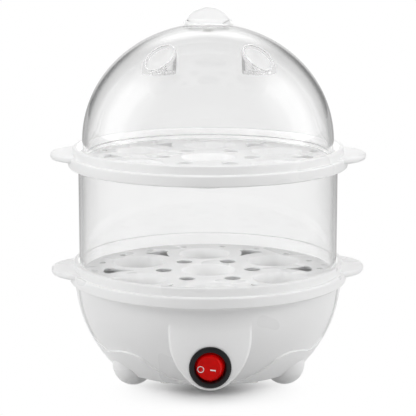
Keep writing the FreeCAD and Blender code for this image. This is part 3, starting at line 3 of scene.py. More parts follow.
import logging
import math
from collections.abc import Callable, Iterator, Sequence
from contextlib import contextmanager
from dataclasses import dataclass, field
from enum import Enum
from typing import ClassVar

import bmesh
import bpy
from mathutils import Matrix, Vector
from mathutils.geometry import delaunay_2d_cdt
from mathutils.kdtree import KDTree


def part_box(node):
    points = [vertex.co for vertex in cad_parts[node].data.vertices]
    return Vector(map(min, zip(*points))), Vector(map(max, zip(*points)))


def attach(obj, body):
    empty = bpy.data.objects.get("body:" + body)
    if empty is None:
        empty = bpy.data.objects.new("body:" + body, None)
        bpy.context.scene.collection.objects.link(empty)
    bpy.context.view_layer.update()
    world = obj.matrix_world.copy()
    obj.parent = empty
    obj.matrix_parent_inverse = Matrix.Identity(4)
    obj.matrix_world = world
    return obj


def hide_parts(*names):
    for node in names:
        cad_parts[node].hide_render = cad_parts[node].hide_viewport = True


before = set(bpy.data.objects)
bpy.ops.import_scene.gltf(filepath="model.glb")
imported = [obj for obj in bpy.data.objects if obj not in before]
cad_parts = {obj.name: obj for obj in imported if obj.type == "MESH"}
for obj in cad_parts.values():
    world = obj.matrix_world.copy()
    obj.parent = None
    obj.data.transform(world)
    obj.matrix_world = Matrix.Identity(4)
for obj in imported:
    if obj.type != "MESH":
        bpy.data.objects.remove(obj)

LOG = logging.getLogger("egg_cooker")
MM = 0.001
MERGE = 0.002 * MM
PITCH = 0.8 * MM
FILLET_STEPS = 5
# Steps round the axis, from the large thin walls down to the small holes
FINE, ROUND, BODY, FIN, INNER, SMALL, HOLE = 256, 192, 160, 144, 128, 96, 48
SMOOTH_ANGLE = math.radians(32)
FLAT_ANGLE = math.radians(0.2)
FRONT = (math.pi / 2, 0, 0)
NORMAL_WEIGHT = 80

Pair = tuple[float, float]
Outline = list[Pair]
Corner = tuple[float, ...]
Spot = tuple[float, float, float]
Stops = tuple[Pair, ...]
Shape = bpy.types.Object
Finish = bpy.types.Material
Socket = bpy.types.NodeSocket
Colour = tuple[float, float, float]


class Join(Enum):
    """How one solid is combined with another."""

    CUT = "DIFFERENCE"
    ADD = "UNION"
    COMMON = "INTERSECT"


# ------------------------------------------------------------------------------------------
# Modelling helpers
# ------------------------------------------------------------------------------------------
def deselect() -> None:
    """Leaves edit mode and deselects everything."""
    if bpy.context.object and bpy.context.object.mode != "OBJECT":
        bpy.ops.object.mode_set(mode="OBJECT")
    bpy.ops.object.select_all(action="DESELECT")


def activate(*shapes: Shape) -> None:
    """Selects only these objects and makes the first one active."""
    deselect()
    for shape in shapes:
        shape.select_set(True)
    bpy.context.view_layer.objects.active = shapes[0]


@contextmanager
def editing(shape: Shape) -> Iterator[None]:
    """Edit mode on one object, with nothing selected at the start."""
    activate(shape)
    bpy.ops.object.mode_set(mode="EDIT")
    bpy.ops.mesh.select_all(action="DESELECT")
    yield
    bpy.ops.object.mode_set(mode="OBJECT")


def select_all() -> None:
    """Selects the whole mesh that is being edited."""
    bpy.ops.mesh.select_all(action="SELECT")


def turn_outwards() -> None:
    """Turns every face of the mesh that is being edited outwards."""
    select_all()
    bpy.ops.mesh.normals_make_consistent(inside=False)


def pick_edges(shape: Shape, test: Callable[[bmesh.types.BMEdge], bool]) -> None:
    """Selects the edges that a test accepts, and nothing else.

    Args:
        shape: The object in edit mode.
        test: Says whether one bmesh edge is wanted.
    """
    bpy.ops.mesh.select_all(action="DESELECT")
    bpy.context.tool_settings.mesh_select_mode = (False, True, False)
    mesh = bmesh.from_edit_mesh(shape.data)
    for edge in mesh.edges:
        if test(edge):
            edge.select_set(True)
    mesh.select_flush_mode()
    bmesh.update_edit_mesh(shape.data)


def settle(shape: Shape) -> Shape:
    """Applies the object's place, turn and scale to its mesh."""
    activate(shape)
    bpy.ops.object.transform_apply(location=True, rotation=True, scale=True)
    return shape


def moved(shape: Shape, place: Sequence[float], turn: Sequence[float] = (0, 0, 0)) -> Shape:
    """Turns an object about the origin, moves it, and applies both to its mesh."""
    shape.rotation_euler = turn
    shape.location = place
    return settle(shape)


def copied(shape: Shape, place: Sequence[float] = (0, 0, 0),
           turn: Sequence[float] = (0, 0, 0)) -> Shape:
    """A copy with its own mesh, turned about the origin and then moved."""
    twin = shape.copy()
    twin.data = shape.data.copy()
    bpy.context.scene.collection.objects.link(twin)
    return moved(twin, place, turn)


def joined(shapes: Sequence[Shape]) -> Shape:
    """Several objects as one, without merging their surfaces."""
    activate(*shapes)
    if len(shapes) > 1:
        bpy.ops.object.join()
    return shapes[0]


def discard(*shapes: Shape) -> None:
    """Removes shapes that were only there to be copied or cut with."""
    for shape in shapes:
        bpy.data.objects.remove(shape, do_unlink=True)


def combined(shape: Shape, tool: Shape, how: Join) -> Shape:
    """Combines an object with a tool by a boolean, and removes the tool.

    Args:
        shape: The object that changes.
        tool: What it is combined with.
        how: Cut it away, add it, or keep what both share.

    Returns:
        The same object.
    """
    activate(shape)
    bpy.ops.object.modifier_add(type="BOOLEAN")
    modifier = shape.modifiers[-1]
    modifier.operation = how.value
    modifier.solver = "MANIFOLD"
    modifier.object = tool
    bpy.ops.object.modifier_apply(modifier=modifier.name)
    discard(tool)
    return shape


def tidied(shape: Shape) -> Shape:
    """Merges doubles, dissolves edges inside flat faces, and turns the faces outwards."""
    with editing(shape):
        select_all()
        bpy.ops.mesh.remove_doubles(threshold=MERGE)
        bpy.ops.mesh.dissolve_degenerate(threshold=MERGE)
        select_all()
        bpy.ops.mesh.dissolve_limited(angle_limit=FLAT_ANGLE)
        turn_outwards()
    return shape


def smoothed(shape: Shape, name: str, angle: float = SMOOTH_ANGLE) -> Shape:
    """Names a finished piece and shades it smooth, with its flat faces kept flat.

    Args:
        shape: The piece.
        name: What it is called.
        angle: Edges sharper than this stay sharp.

    Returns:
        The same object.
    """
    shape.name = name
    shape.data.name = name
    activate(shape)
    bpy.ops.object.shade_smooth_by_angle(angle=angle, keep_sharp_edges=False)
    bpy.ops.object.modifier_add(type="WEIGHTED_NORMAL")
    modifier = shape.modifiers[-1]
    modifier.keep_sharp = True
    modifier.weight = NORMAL_WEIGHT
    bpy.ops.object.modifier_apply(modifier=modifier.name)
    return shape


def evenly(start: float, reach: float, steps: int) -> list[float]:
    """Values spread evenly over a reach, both ends included."""
    return [start + reach * step / steps for step in range(steps + 1)]


def polar(radius: float, angle: float, centre: Sequence[float] = (0.0, 0.0)) -> Pair:
    """The point at a distance and an angle from a centre."""
    return (centre[0] + radius * math.cos(angle), centre[1] + radius * math.sin(angle))


def filleted(corners: Sequence[Corner], closed: bool = False) -> Outline:
    """An outline with rounded corners.

    Args:
        corners: (across, up) or (across, up, rounding) of each corner, in order.
        closed: Whether the last corner joins the first.

    Returns:
        Its points, the first one again at the end if it is closed.
    """
    spots = [Vector(corner[:2]) for corner in corners]
    last = len(corners) - 1
    points: Outline = []
    for index, corner in enumerate(corners):
        here = spots[index]
        if len(corner) == 2 or (not closed and index in (0, last)):
            points.append(tuple(here))
            continue
        before = (spots[index - 1] - here).normalized()
        after = (spots[(index + 1) % len(corners)] - here).normalized()
        half = before.angle(after) / 2
        centre = here + (before + after).normalized() * (corner[2] / math.sin(half))
        reach = corner[2] / math.tan(half)
        points += arc_about(centre, here + before * reach, here + after * reach, FILLET_STEPS)
    return points + points[:1] if closed else points


def arc_about(centre: Vector, start: Vector, end: Vector, steps: int) -> Outline:
    """Points of the shorter arc about a centre, both ends included."""
    first = math.atan2(start.y - centre.y, start.x - centre.x)
    sweep = math.remainder(math.atan2(end.y - centre.y, end.x - centre.x) - first, math.tau)
    radius = (start - centre).length
    return [polar(radius, angle, centre) for angle in evenly(first, sweep, steps)]


def arc_run(start: Sequence[float], corner: Corner) -> Outline:
    """Points of one run of an outline, those of an arc about PITCH apart.

    Args:
        start: Where it starts.
        corner: (x, y), or (x, y, radius, side) for an arc with its centre on the left (+1) or
            the right (-1) of the way round.

    Returns:
        The run's points without its start.
    """
    first, end = Vector(start[:2]), Vector(corner[:2])
    if len(corner) == 2:
        return [tuple(end)]
    radius, side = corner[2:]
    chord = end - first
    left = Vector((-chord.y, chord.x)).normalized() * side
    height = math.sqrt(max(radius * radius - chord.length_squared / 4, 0.0))
    steps = max(3, round(chord.length / PITCH))
    return arc_about((first + end) / 2 + left * height, first, end, steps)[1:]


def curved(corners: Sequence[Corner]) -> Outline:
    """A closed outline of straight runs and arcs, its first point again at the end."""
    points: Outline = []
    for index, corner in enumerate(corners):
        points += arc_run(corners[index - 1], corner)
    return points + points[:1]


def within(spot: Pair, outline: Outline) -> bool:
    """Whether a point lies inside a closed outline.

    Args:
        spot: The point.
        outline: The corners in order.

    Returns:
        True if it is inside.
    """
    x, y = spot
    inside = False
    for (x0, y0), (x1, y1) in zip(outline, outline[1:] + outline[:1]):
        if (y0 > y) != (y1 > y) and x < x0 + (x1 - x0) * (y - y0) / (y1 - y0):
            inside = not inside
    return inside


def drawn(name: str, points: Sequence[Sequence[float]]) -> Shape:
    """A line drawn in edit mode, one vertex extruded from point to point.

    Args:
        name: The new object's name.
        points: Places in space. A last one equal to the first closes the line.

    Returns:
        The line as a mesh of edges.
    """
    deselect()
    bpy.ops.mesh.primitive_plane_add(size=MM)
    line = bpy.context.active_object
    line.name = name
    spots = [Vector(point) for point in points]
    with editing(line):
        bpy.context.tool_settings.mesh_select_mode = (True, False, False)
        select_all()
        bpy.ops.mesh.merge(type="CENTER")
        bpy.ops.transform.translate(value=spots[0])
        for start, end in zip(spots, spots[1:]):
            bpy.ops.mesh.extrude_vertices_move(TRANSFORM_OT_translate={"value": end - start})
        select_all()
        bpy.ops.mesh.remove_doubles(threshold=MERGE)
    return line


def turned(name: str, outline: Outline, steps: int = ROUND) -> Shape:
    """A solid turned about the Z axis from its half section of (radius, height) points.

    Args:
        name: The new object's name.
        outline: The half section, in order.
        steps: How many steps go round.

    Returns:
        The solid.
    """
    shape = drawn(name, [(radius, 0, height) for radius, height in outline])
    with editing(shape):
        select_all()
        bpy.ops.mesh.spin(steps=steps, angle=math.tau, center=(0, 0, 0), axis=(0, 0, 1))
        select_all()
        bpy.ops.mesh.remove_doubles(threshold=MERGE)
        turn_outwards()
    return shape


def prism(name: str, outline: Outline, low: float, high: float) -> Shape:
    """A solid with an outline in the XY plane, from one height to another.

    Args:
        name: The new object's name.
        outline: Its points, the first one again at the end.
        low: Height of its foot.
        high: Height of its top.

    Returns:
        The solid.
    """
    shape = drawn(name, [(x, y, low) for x, y in outline])
    with editing(shape):
        select_all()
        bpy.ops.mesh.edge_face_add()
        bpy.ops.mesh.extrude_region_move(TRANSFORM_OT_translate={"value": (0, 0, high - low)})
        turn_outwards()
    return shape


def facing_front(shape: Shape, height: float = 0.0) -> Shape:
    """Turns a shape built up along Z to face -Y, with its axis at a height."""
    return moved(shape, (0, 0, height), FRONT)


def disc(name: str, radius: float, low: float, high: float) -> Shape:
    """A plain round cutter about the Z axis, between two heights."""
    return turned(name, [(0, low), (radius, low), (radius, high), (0, high)], SMALL)


# ------------------------------------------------------------------------------------------
# Finishes
# ------------------------------------------------------------------------------------------
class Graph:
    """The node tree of a material or world, with short calls for the nodes that they share."""

    def __init__(self, name: str, shelf: object | None = None) -> None:
        """Starts a material, or a block on another shelf, with an empty tree.

        Args:
            name: What it is called.
            shelf: Blender's collection for it, if not the materials.
        """
        self.finish = (bpy.data.materials if shelf is None else shelf).new(name)
        self.finish.use_nodes = True
        self.tree = self.finish.node_tree
        self.tree.nodes.clear()
        self.place = self.out("TexCoord", "Object")

    def node(self, kind: str, sockets: dict | None = None, **settings: object) -> bpy.types.Node:
        """Adds a shader node, sets its properties, and links or sets its sockets.

        Args:
            kind: The type of node, without ShaderNode.
            sockets: Values, or outputs to link, by input.
            settings: The node's properties.

        Returns:
            The node.
        """
        node = self.tree.nodes.new("ShaderNode" + kind)
        for name, value in settings.items():
            setattr(node, name, value)
        for key, value in (sockets or {}).items():
            if isinstance(value, Socket):
                self.tree.links.new(value, node.inputs[key])
            else:
                node.inputs[key].default_value = value
        return node

    def out(self, kind: str, output: int | str = 0, sockets: dict | None = None,
            **settings: object) -> Socket:
        """One output of a new node."""
        return self.node(kind, sockets, **settings).outputs[output]

    def noise(self, scale: float, detail: float = 2.0, place: Socket | None = None) -> Socket:
        """Noise with so many features to a metre, as a value of about 0.3 to 0.7."""
        return self.out("TexNoise", 0, {
            "Vector": place or self.place, "Scale": scale, "Detail": detail, "Roughness": 0.5})

    def span(self, value: Socket, low: float, high: float, start: float = 0.3,
             end: float = 0.7) -> Socket:
        """A value brought from one range to another."""
        return self.out("MapRange", 0, {
            "Value": value, "From Min": start, "From Max": end, "To Min": low, "To Max": high})

    def blend(self, share: Socket, first: object, second: object) -> Socket:
        """One colour turning into another."""
        return self.out("Mix", 2, {0: share, 6: first, 7: second}, data_type="RGBA")

    def tinted(self, value: Socket, colour: Colour, low: float, high: float = 1.0) -> Socket:
        """A colour that goes from one lightness to another as noise rises."""
        return self.blend(self.span(value, 0, 1), shade(colour, low), shade(colour, high))

    def mix(self, share: Socket, first: object, second: object) -> Socket:
        """One level turning into another."""
        return self.out("Mix", 0, {0: share, 2: first, 3: second})

    def math(self, operation: str, *values: object) -> Socket:
        """The result of a math node."""
        return self.out("Math", 0, dict(enumerate(values)), operation=operation)

    def times(self, *values: object) -> Socket:
        """Two values multiplied."""
        return self.math("MULTIPLY", *values)

    def any(self, count: Socket) -> Socket:
        """1 where a count is one or more."""
        return self.math("GREATER_THAN", count, 0.5)

    def measured(self, operation: str, *values: object) -> Socket:
        """The number that a vector math node gives."""
        return self.out("VectorMath", "Value", dict(enumerate(values)), operation=operation)

    def scaled(self, *scale: float) -> Socket:
        """The object coordinates, scaled along each axis."""
        return self.out("Mapping", 0, {"Vector": self.place, "Scale": scale})

    def ramp(self, value: Socket, stops: Stops, low: float = 0.0) -> Socket:
        """The level that a value between low and 1 has on a smooth line through some stops.

        Args:
            value: What goes in.
            stops: (value, level) pairs, in order.
            low: The smallest value.

        Returns:
            The level.
        """
        most = max(level for _, level in stops)
        node = self.node("ValToRGB", {0: self.span(value, 0.0, 1.0, low, 1.0)})
        node.color_ramp.interpolation = "EASE"
        elements = node.color_ramp.elements
        for index, (spot, level) in enumerate(stops):
            stop = elements[index] if index < 2 else elements.new(1.0)
            stop.position = (spot - low) / (1.0 - low)
            stop.color = grey(level / most)
        return self.times(node.outputs[0], most)

    def bump(self, height: Socket, depth: float, strength: float = 1.0,
             under: Socket | None = None) -> Socket:
        """A normal raised by a height, in metres, on top of another normal."""
        sockets = {"Height": height, "Distance": depth, "Strength": strength}
        if under is not None:
            sockets["Normal"] = under
        return self.out("Bump", 0, sockets)

    def output(self, shader: Socket, kind: str = "OutputMaterial") -> Finish:
        """Links a shader to the surface and gives the material."""
        self.node(kind, {"Surface": shader})
        return self.finish


def grey(level: float) -> tuple[float, float, float, float]:
    """An even grey as a colour."""
    return (level, level, level, 1.0)


def shade(colour: Sequence[float], factor: float = 1.0) -> tuple[float, float, float, float]:
    """A colour made lighter or darker."""
    return (*(min(1.0, channel * factor) for channel in colour[:3]), 1.0)


@dataclass(frozen=True)
class Surface:
    """A finish with its name, colour and roughness. Each kind of finish gives the rest."""

    name: str
    colour: Colour
    roughness: float = 0.3
    ior: ClassVar[float] = 1.5

    def sockets(self, graph: Graph) -> dict[str, object]:
        """What goes into the shader's sockets.

        Args:
            graph: The material's node tree.

        Returns:
            Values, or outputs to link, by the shader's inputs.
        """
        raise NotImplementedError

    def rough(self, graph: Graph, value: Socket, low: float, high: float) -> Socket:
        """Roughness that varies between two shares of the finish's own as noise rises."""
        return graph.span(value, self.roughness * low, self.roughness * high)

    def shader(self, graph: Graph) -> Socket:
        """The shader of the finish."""
        return graph.out("BsdfPrincipled", 0, {"IOR": self.ior, **self.sockets(graph)})

    def material(self) -> Finish:
        """Builds the finish as a material."""
        graph = Graph(self.name)
        return graph.output(self.shader(graph))


@dataclass(frozen=True)
class MouldedPlastic(Surface):
    """Injection-moulded plastic: faint colour clouds, satin grain and shallow sink marks, and where
    set, a painted glow.
    """

    ior: ClassVar[float] = 1.49
    spread: float = 0.05
    grain: float = 0.004 * MM
    sink: float = 0.03 * MM
    gloss: float = 0.5
    milk: float = 0.0
    milk_depth: float = 4.0 * MM
    # Painted glow: emission strength over the whole piece, and on a collar's inner face only, as
    # lift where it looks too dark
    glow: float = 0.0
    painted_collar_glow: float = 0.0
    collar: float = 71.5 * MM

    def carried(self, graph: Graph) -> Socket | float:
        """Painted glow: emission over the whole piece, or only on a collar's inner face, that lifts
        it as if more light reached it.

        Args:
            graph: The material's node tree.

        Returns:
            How strongly it glows.
        """
        if not self.painted_collar_glow:
            return self.glow
        # Mask of a collar's inner face, where the painted glow goes
        flat = graph.scaled(1, 1, 0)
        along = graph.measured("DOT_PRODUCT", flat, graph.out("TexCoord", "Normal"))
        inward = graph.math("LESS_THAN", along, -0.5 * self.collar)
        radius = graph.measured("LENGTH", flat)
        face = graph.times(inward, graph.math("GREATER_THAN", radius, self.collar))
        return graph.times(face, self.painted_collar_glow)

    def sockets(self, graph: Graph) -> dict[str, object]:
        """Clouded colour, grain over sink marks, light spread inside milky plastic, and painted
        glow.
        """
        low, high = self.roughness - self.spread, self.roughness + self.spread
        sunk = graph.bump(graph.noise(18, 0), self.sink, 0.3)
        return {
            "Base Color": graph.tinted(graph.noise(12, 0), self.colour, 0.99),
            "Roughness": graph.span(graph.noise(30, 1), low, high),
            "Normal": graph.bump(graph.noise(420, 1), self.grain, 0.4, sunk),
            "Specular IOR Level": self.gloss, "Subsurface Weight": self.milk,
            "Subsurface Radius": (1.0, 1.0, 1.0), "Subsurface Scale": self.milk_depth,
            # Painted glow: emission on a piece that is no lamp
            "Emission Color": grey(1.0), "Emission Strength": self.carried(graph)}


@dataclass(frozen=True)
class ClearPlastic(Surface):
    """Polished see-through plastic with faint flow marks, which lets lamp light straight in.

    It is deeper at a glancing angle, partly for the longer path through the wall and partly as
    painted shade at its edges, and has a painted pale glow where a path stays caught inside the
    wall. Its crown lets less of the light from overhead in.
    """

    roughness: float = 0.012
    flow: float = 0.03 * MM
    painted_trapped_glow: float = 0.8
    crown: float = 0.72
    crown_low: float = 168 * MM
    crown_high: float = 178 * MM
    # Painted shade at the edges: the base colour darkens towards a glancing angle, a little for the
    # longer path through the wall and then near black; the specular tint dims the gloss there as a
    # painted dark reflection
    tint_and_painted_edge_shade: Stops = ((0.0, 0.95), (0.45, 0.95), (0.6, 0.92), (0.74, 0.86), (0.81, 0.6), (0.88, 0.22),
                   (1.0, 0.03))
    gleam: Stops = ((0.0, 1.0), (0.7, 0.95), (0.8, 0.7), (0.9, 0.2), (1.0, 0.05))

    def sockets(self, graph: Graph) -> dict[str, object]:
        """Glass with flow marks, with painted shade where its outer face is seen edge on: darker in
        colour and less glossy there.
        """
        outside = graph.math("SUBTRACT", 1.0, graph.out("NewGeometry", "Backfacing"))
        facing = graph.times(graph.out("LayerWeight", "Facing"), outside)
        clouds = graph.span(graph.noise(30, 2), 0.985, 1.0)
        return {
            "Base Color": graph.times(graph.ramp(facing, self.tint_and_painted_edge_shade), clouds),
            "Specular Tint": graph.ramp(facing, self.gleam), "Transmission Weight": 1.0,
            "Roughness": self.rough(graph, graph.noise(90, 3), 0.6, 1.6),
            "Normal": graph.bump(graph.noise(22, 2, graph.scaled(1, 1, 0.35)), self.flow, 0.06)}

    def shader(self, graph: Graph) -> Socket:
        """Its glass, a painted pale glow where a path stays caught in the wall, and a clear way for
        the lamps' light.
        """
        path = graph.node("LightPath").outputs
        # Painted glow: long paths in the wall show a pale emission instead of going dark
        caught = graph.math("MAXIMUM", graph.math("GREATER_THAN", path["Glossy Depth"], 2.5),
                            graph.math("GREATER_THAN", path["Ray Depth"], 9.5))
        glow = graph.out("Emission", 0, {"Color": grey(self.painted_trapped_glow), "Strength": 1.0})
        body = graph.out("MixShader", 0, {0: caught, 1: super().shader(graph), 2: glow})
        height = graph.out("SeparateXYZ", "Z", {0: graph.place})
        crown = graph.span(height, 0.0, 1.0, self.crown_low, self.crown_high)
        shadow = graph.blend(crown, shade(self.colour), shade(self.colour, self.crown))
        way = graph.out("BsdfTransparent", 0, {"Color": shadow})
        return graph.out("MixShader", 0, {0: path["Is Shadow Ray"], 1: body, 2: way})


class Marks(Enum):
    """How a metal sheet or casting was worked."""

    RINGS = "rings"
    STROKES = "strokes"
    CAST = "cast"


@dataclass(frozen=True)
class Metal(Surface):
    """Bare or plated metal with its working marks."""

    marks: Marks = Marks.STROKES
    depth: float = 0.01 * MM

    def relief(self, graph: Graph) -> Socket:
        """The height of the working marks."""
        if self.marks is Marks.RINGS:
            radius = graph.measured("LENGTH", graph.scaled(1, 1, 0))
            return graph.out("TexNoise", 0, {"W": radius, "Scale": 1800.0, "Detail": 3.0},
                             noise_dimensions="1D")
        if self.marks is Marks.STROKES:
            return graph.noise(260, 3, graph.scaled(1, 14, 14))
        return graph.noise(900, 5)

    def sockets(self, graph: Graph) -> dict[str, object]:
        """Faint stains, and roughness that follows the marks."""
        relief = self.relief(graph)
        return {
            "Base Color": graph.tinted(graph.noise(120, 4), self.colour, 0.86), "Metallic": 1.0,
            "Roughness": self.rough(graph, relief, 0.75, 1.3),
            "Normal": graph.bump(relief, self.depth, 0.6)}


@dataclass(frozen=True)
class Rubber(Surface):
    """Matt moulded rubber or silicone, a little dusty in its pores."""

    roughness: float = 0.7
    dust: float = 1.5

    def sockets(self, graph: Graph) -> dict[str, object]:
        """Dusty colour and fine pores."""
        pores = graph.noise(1100, 4)
        return {
            "Base Color": graph.tinted(graph.noise(140, 5), self.colour, 1.0, self.dust),
            "Roughness": graph.span(pores, self.roughness - 0.08, self.roughness + 0.1),
            "Normal": graph.bump(pores, 0.02 * MM, 0.7)}


@dataclass(frozen=True)
class Insulation(Surface):
    """Extruded insulation on a lead, in one colour or with a second one in stripes."""

    roughness: float = 0.42
    stripe: Colour | None = None

    def sockets(self, graph: Graph) -> dict[str, object]:
        """Slightly uneven colour, with stripes where it has them."""
        colour = graph.tinted(graph.noise(200, 3), self.colour, 0.9, 1.05)
        if self.stripe:
            bands = graph.out("TexWave", "Fac", {
                "Vector": graph.place, "Scale": 110.0, "Distortion": 0.3},
                bands_direction="DIAGONAL")
            colour = graph.blend(graph.span(bands, 0, 1, 0.46, 0.54), colour, shade(self.stripe))
        return {
            "Base Color": colour, "Roughness": self.roughness,
            "Normal": graph.bump(graph.noise(700, 2), 0.015 * MM, 0.5)}


@dataclass(frozen=True)
class GlassFibre(Surface):
    """A sleeve woven from glass fibre."""

    roughness: float = 0.75
    pitch: float = 0.7 * MM

    def sockets(self, graph: Graph) -> dict[str, object]:
        """A weave of two crossing waves."""
        wave = {"Vector": graph.place, "Scale": 1 / (self.pitch * 6), "Distortion": 0.6}
        weave = graph.times(*(graph.out("TexWave", "Fac", wave, bands_direction=way)
                              for way in ("X", "DIAGONAL")))
        return {
            "Base Color": graph.blend(weave, shade(self.colour, 0.72), shade(self.colour)),
            "Roughness": self.roughness, "Sheen Weight": 0.3,
            "Normal": graph.bump(weave, 0.08 * MM, 0.8)}


@dataclass(frozen=True)
class TintedLens(Surface):
    """See-through coloured plastic that may glow a little from within."""

    roughness: float = 0.12
    glow: float = 0.0
    depth: float = 0.6
    gleam: Colour = (1.0, 1.0, 1.0)

    def sockets(self, graph: Graph) -> dict[str, object]:
        """Clouded colour under a slightly wavy face."""
        return {
            "Base Color": graph.tinted(graph.noise(320, 3), self.colour, 0.82),
            "Roughness": self.rough(graph, graph.noise(500, 3), 0.7, 1.3),
            "Normal": graph.bump(graph.noise(150, 2), 0.02 * MM, 0.5),
            "Transmission Weight": self.depth, "Specular Tint": shade(self.gleam),
            "Emission Color": shade(self.colour), "Emission Strength": self.glow}


WHITE = (0.88, 0.88, 0.88)
MOULDED_WHITE = MouldedPlastic("moulded_white", WHITE)
# Milky white paints a glow onto the tray collars' inner faces, and grip white paints a glow over
# the whole grip
MILKY_WHITE = MouldedPlastic("milky_white", WHITE, gloss=0.35, milk=0.25, milk_depth=2.0 * MM,
                             painted_collar_glow=0.4)
GRIP_WHITE = MouldedPlastic("grip_white", (0.93, 0.93, 0.93), roughness=0.35, gloss=0.3, milk=0.6,
                            glow=0.12)
# Pale opaque white on the clear vents' rounded edges: a painted highlight
PAINTED_HIGHLIGHT_RIM = MouldedPlastic("painted_highlight_rim", (0.95, 0.95, 0.95), roughness=0.4, gloss=0.3)
SOFT_WHITE = MouldedPlastic("moulded_white_inside", WHITE, roughness=0.42, grain=0.012 * MM)
CLEAR = ClearPlastic("clear_plastic", (0.995, 0.995, 0.995))
SATIN_BLACK = MouldedPlastic("satin_black", (0.012, 0.012, 0.013), roughness=0.34, spread=0.08,
                             grain=0.012 * MM, sink=0.02 * MM, gloss=0.2)
RED_LENS = TintedLens("red_lens", (0.75, 0.004, 0.004), glow=0.06, depth=0.3,
                      gleam=(0.9, 0.14, 0.12))
WHITE_PRINT = MouldedPlastic("white_print", (0.85, 0.82, 0.82), roughness=0.5, grain=0.01 * MM,
                             sink=0.0)

NODE_FINISHES: dict[Surface, tuple[str, ...]] = {
    SOFT_WHITE: ("water_basin", "bottom_cover", "cord_clamp"),
    Rubber("black_rubber", (0.03, 0.03, 0.03)): ("cord_grommet",),
    Rubber("silicone", (0.84, 0.84, 0.82), 0.45, dust=1.1): ("plate_gasket", "knob_washer"),
    Metal("turned_steel", (0.62, 0.62, 0.63), 0.28, Marks.RINGS): ("heating_plate", "clamp_ring"),
    Metal("rolled_steel", (0.60, 0.60, 0.61), 0.32): (
        "element_strap", "plate_studs", "fuse_clip"),
    Metal("zinc", (0.70, 0.70, 0.68), 0.25, Marks.CAST, 0.006 * MM): (
        "stud_nuts", "knob_screw", "basin_screws", "bottom_cover_screws", "cord_clamp_screws"),
    Metal("cast_aluminium", (0.70, 0.71, 0.72), 0.45, Marks.CAST, 0.03 * MM): (
        "heating_element", "thermal_fuse"),
    Metal("brass", (0.78, 0.60, 0.28)): (
        "switch_contact", "switch_tabs", "element_tabs", "thermostat_tabs", "terminal_screws"),
    TintedLens("lamp_glass", (0.95, 0.72, 0.6), 0.05, depth=0.9): ("neon_lamp",),
    MouldedPlastic("phenolic", (0.12, 0.07, 0.05), 0.5): ("thermostat",),
    GlassFibre("glass_fibre", (0.84, 0.82, 0.76)): ("fuse_sleeve",),
    MouldedPlastic("natural_nylon", (0.80, 0.79, 0.74), 0.45): ("terminal_block",),
    Insulation("brown_lead", (0.16, 0.06, 0.03)): ("lead_live",),
    Insulation("blue_lead", (0.03, 0.11, 0.4)): ("lead_neutral", "lead_lamp"),
    Insulation("earth_lead", (0.05, 0.3, 0.05), stripe=(0.75, 0.62, 0.04)): ("lead_earth",),
    Insulation("white_lead", (0.75, 0.75, 0.73)): (
        "lead_switched", "lead_to_element", "lead_to_fuse"),
}


def dress(shape: Shape, finish: Finish) -> Shape:
    """Gives a new piece its finish."""
    shape.data.materials.clear()
    shape.data.materials.append(finish)
    return shape


# ------------------------------------------------------------------------------------------
# Clear ring, lid and grip
# ------------------------------------------------------------------------------------------
@dataclass
class SteamerRing:
    """The clear cylinder between the two trays."""

    wall: float = 1.8 * MM
    edge: float = 0.4 * MM

    def build(self, finish: Finish) -> Shape:
        """Models the ring in place of its CAD node.

        Args:
            finish: Its material.

        Returns:
            The ring.
        """
        low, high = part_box("steamer_ring")
        inner = high.x - self.wall
        section = [(inner, low.z), (high.x, low.z), (high.x, high.z), (inner, high.z)]
        outline = filleted([(*corner, self.edge) for corner in section], closed=True)
        ring = smoothed(turned("ring", outline, FINE), "clear_ring")
        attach(dress(ring, finish), "ring")
        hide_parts("steamer_ring")
        return ring


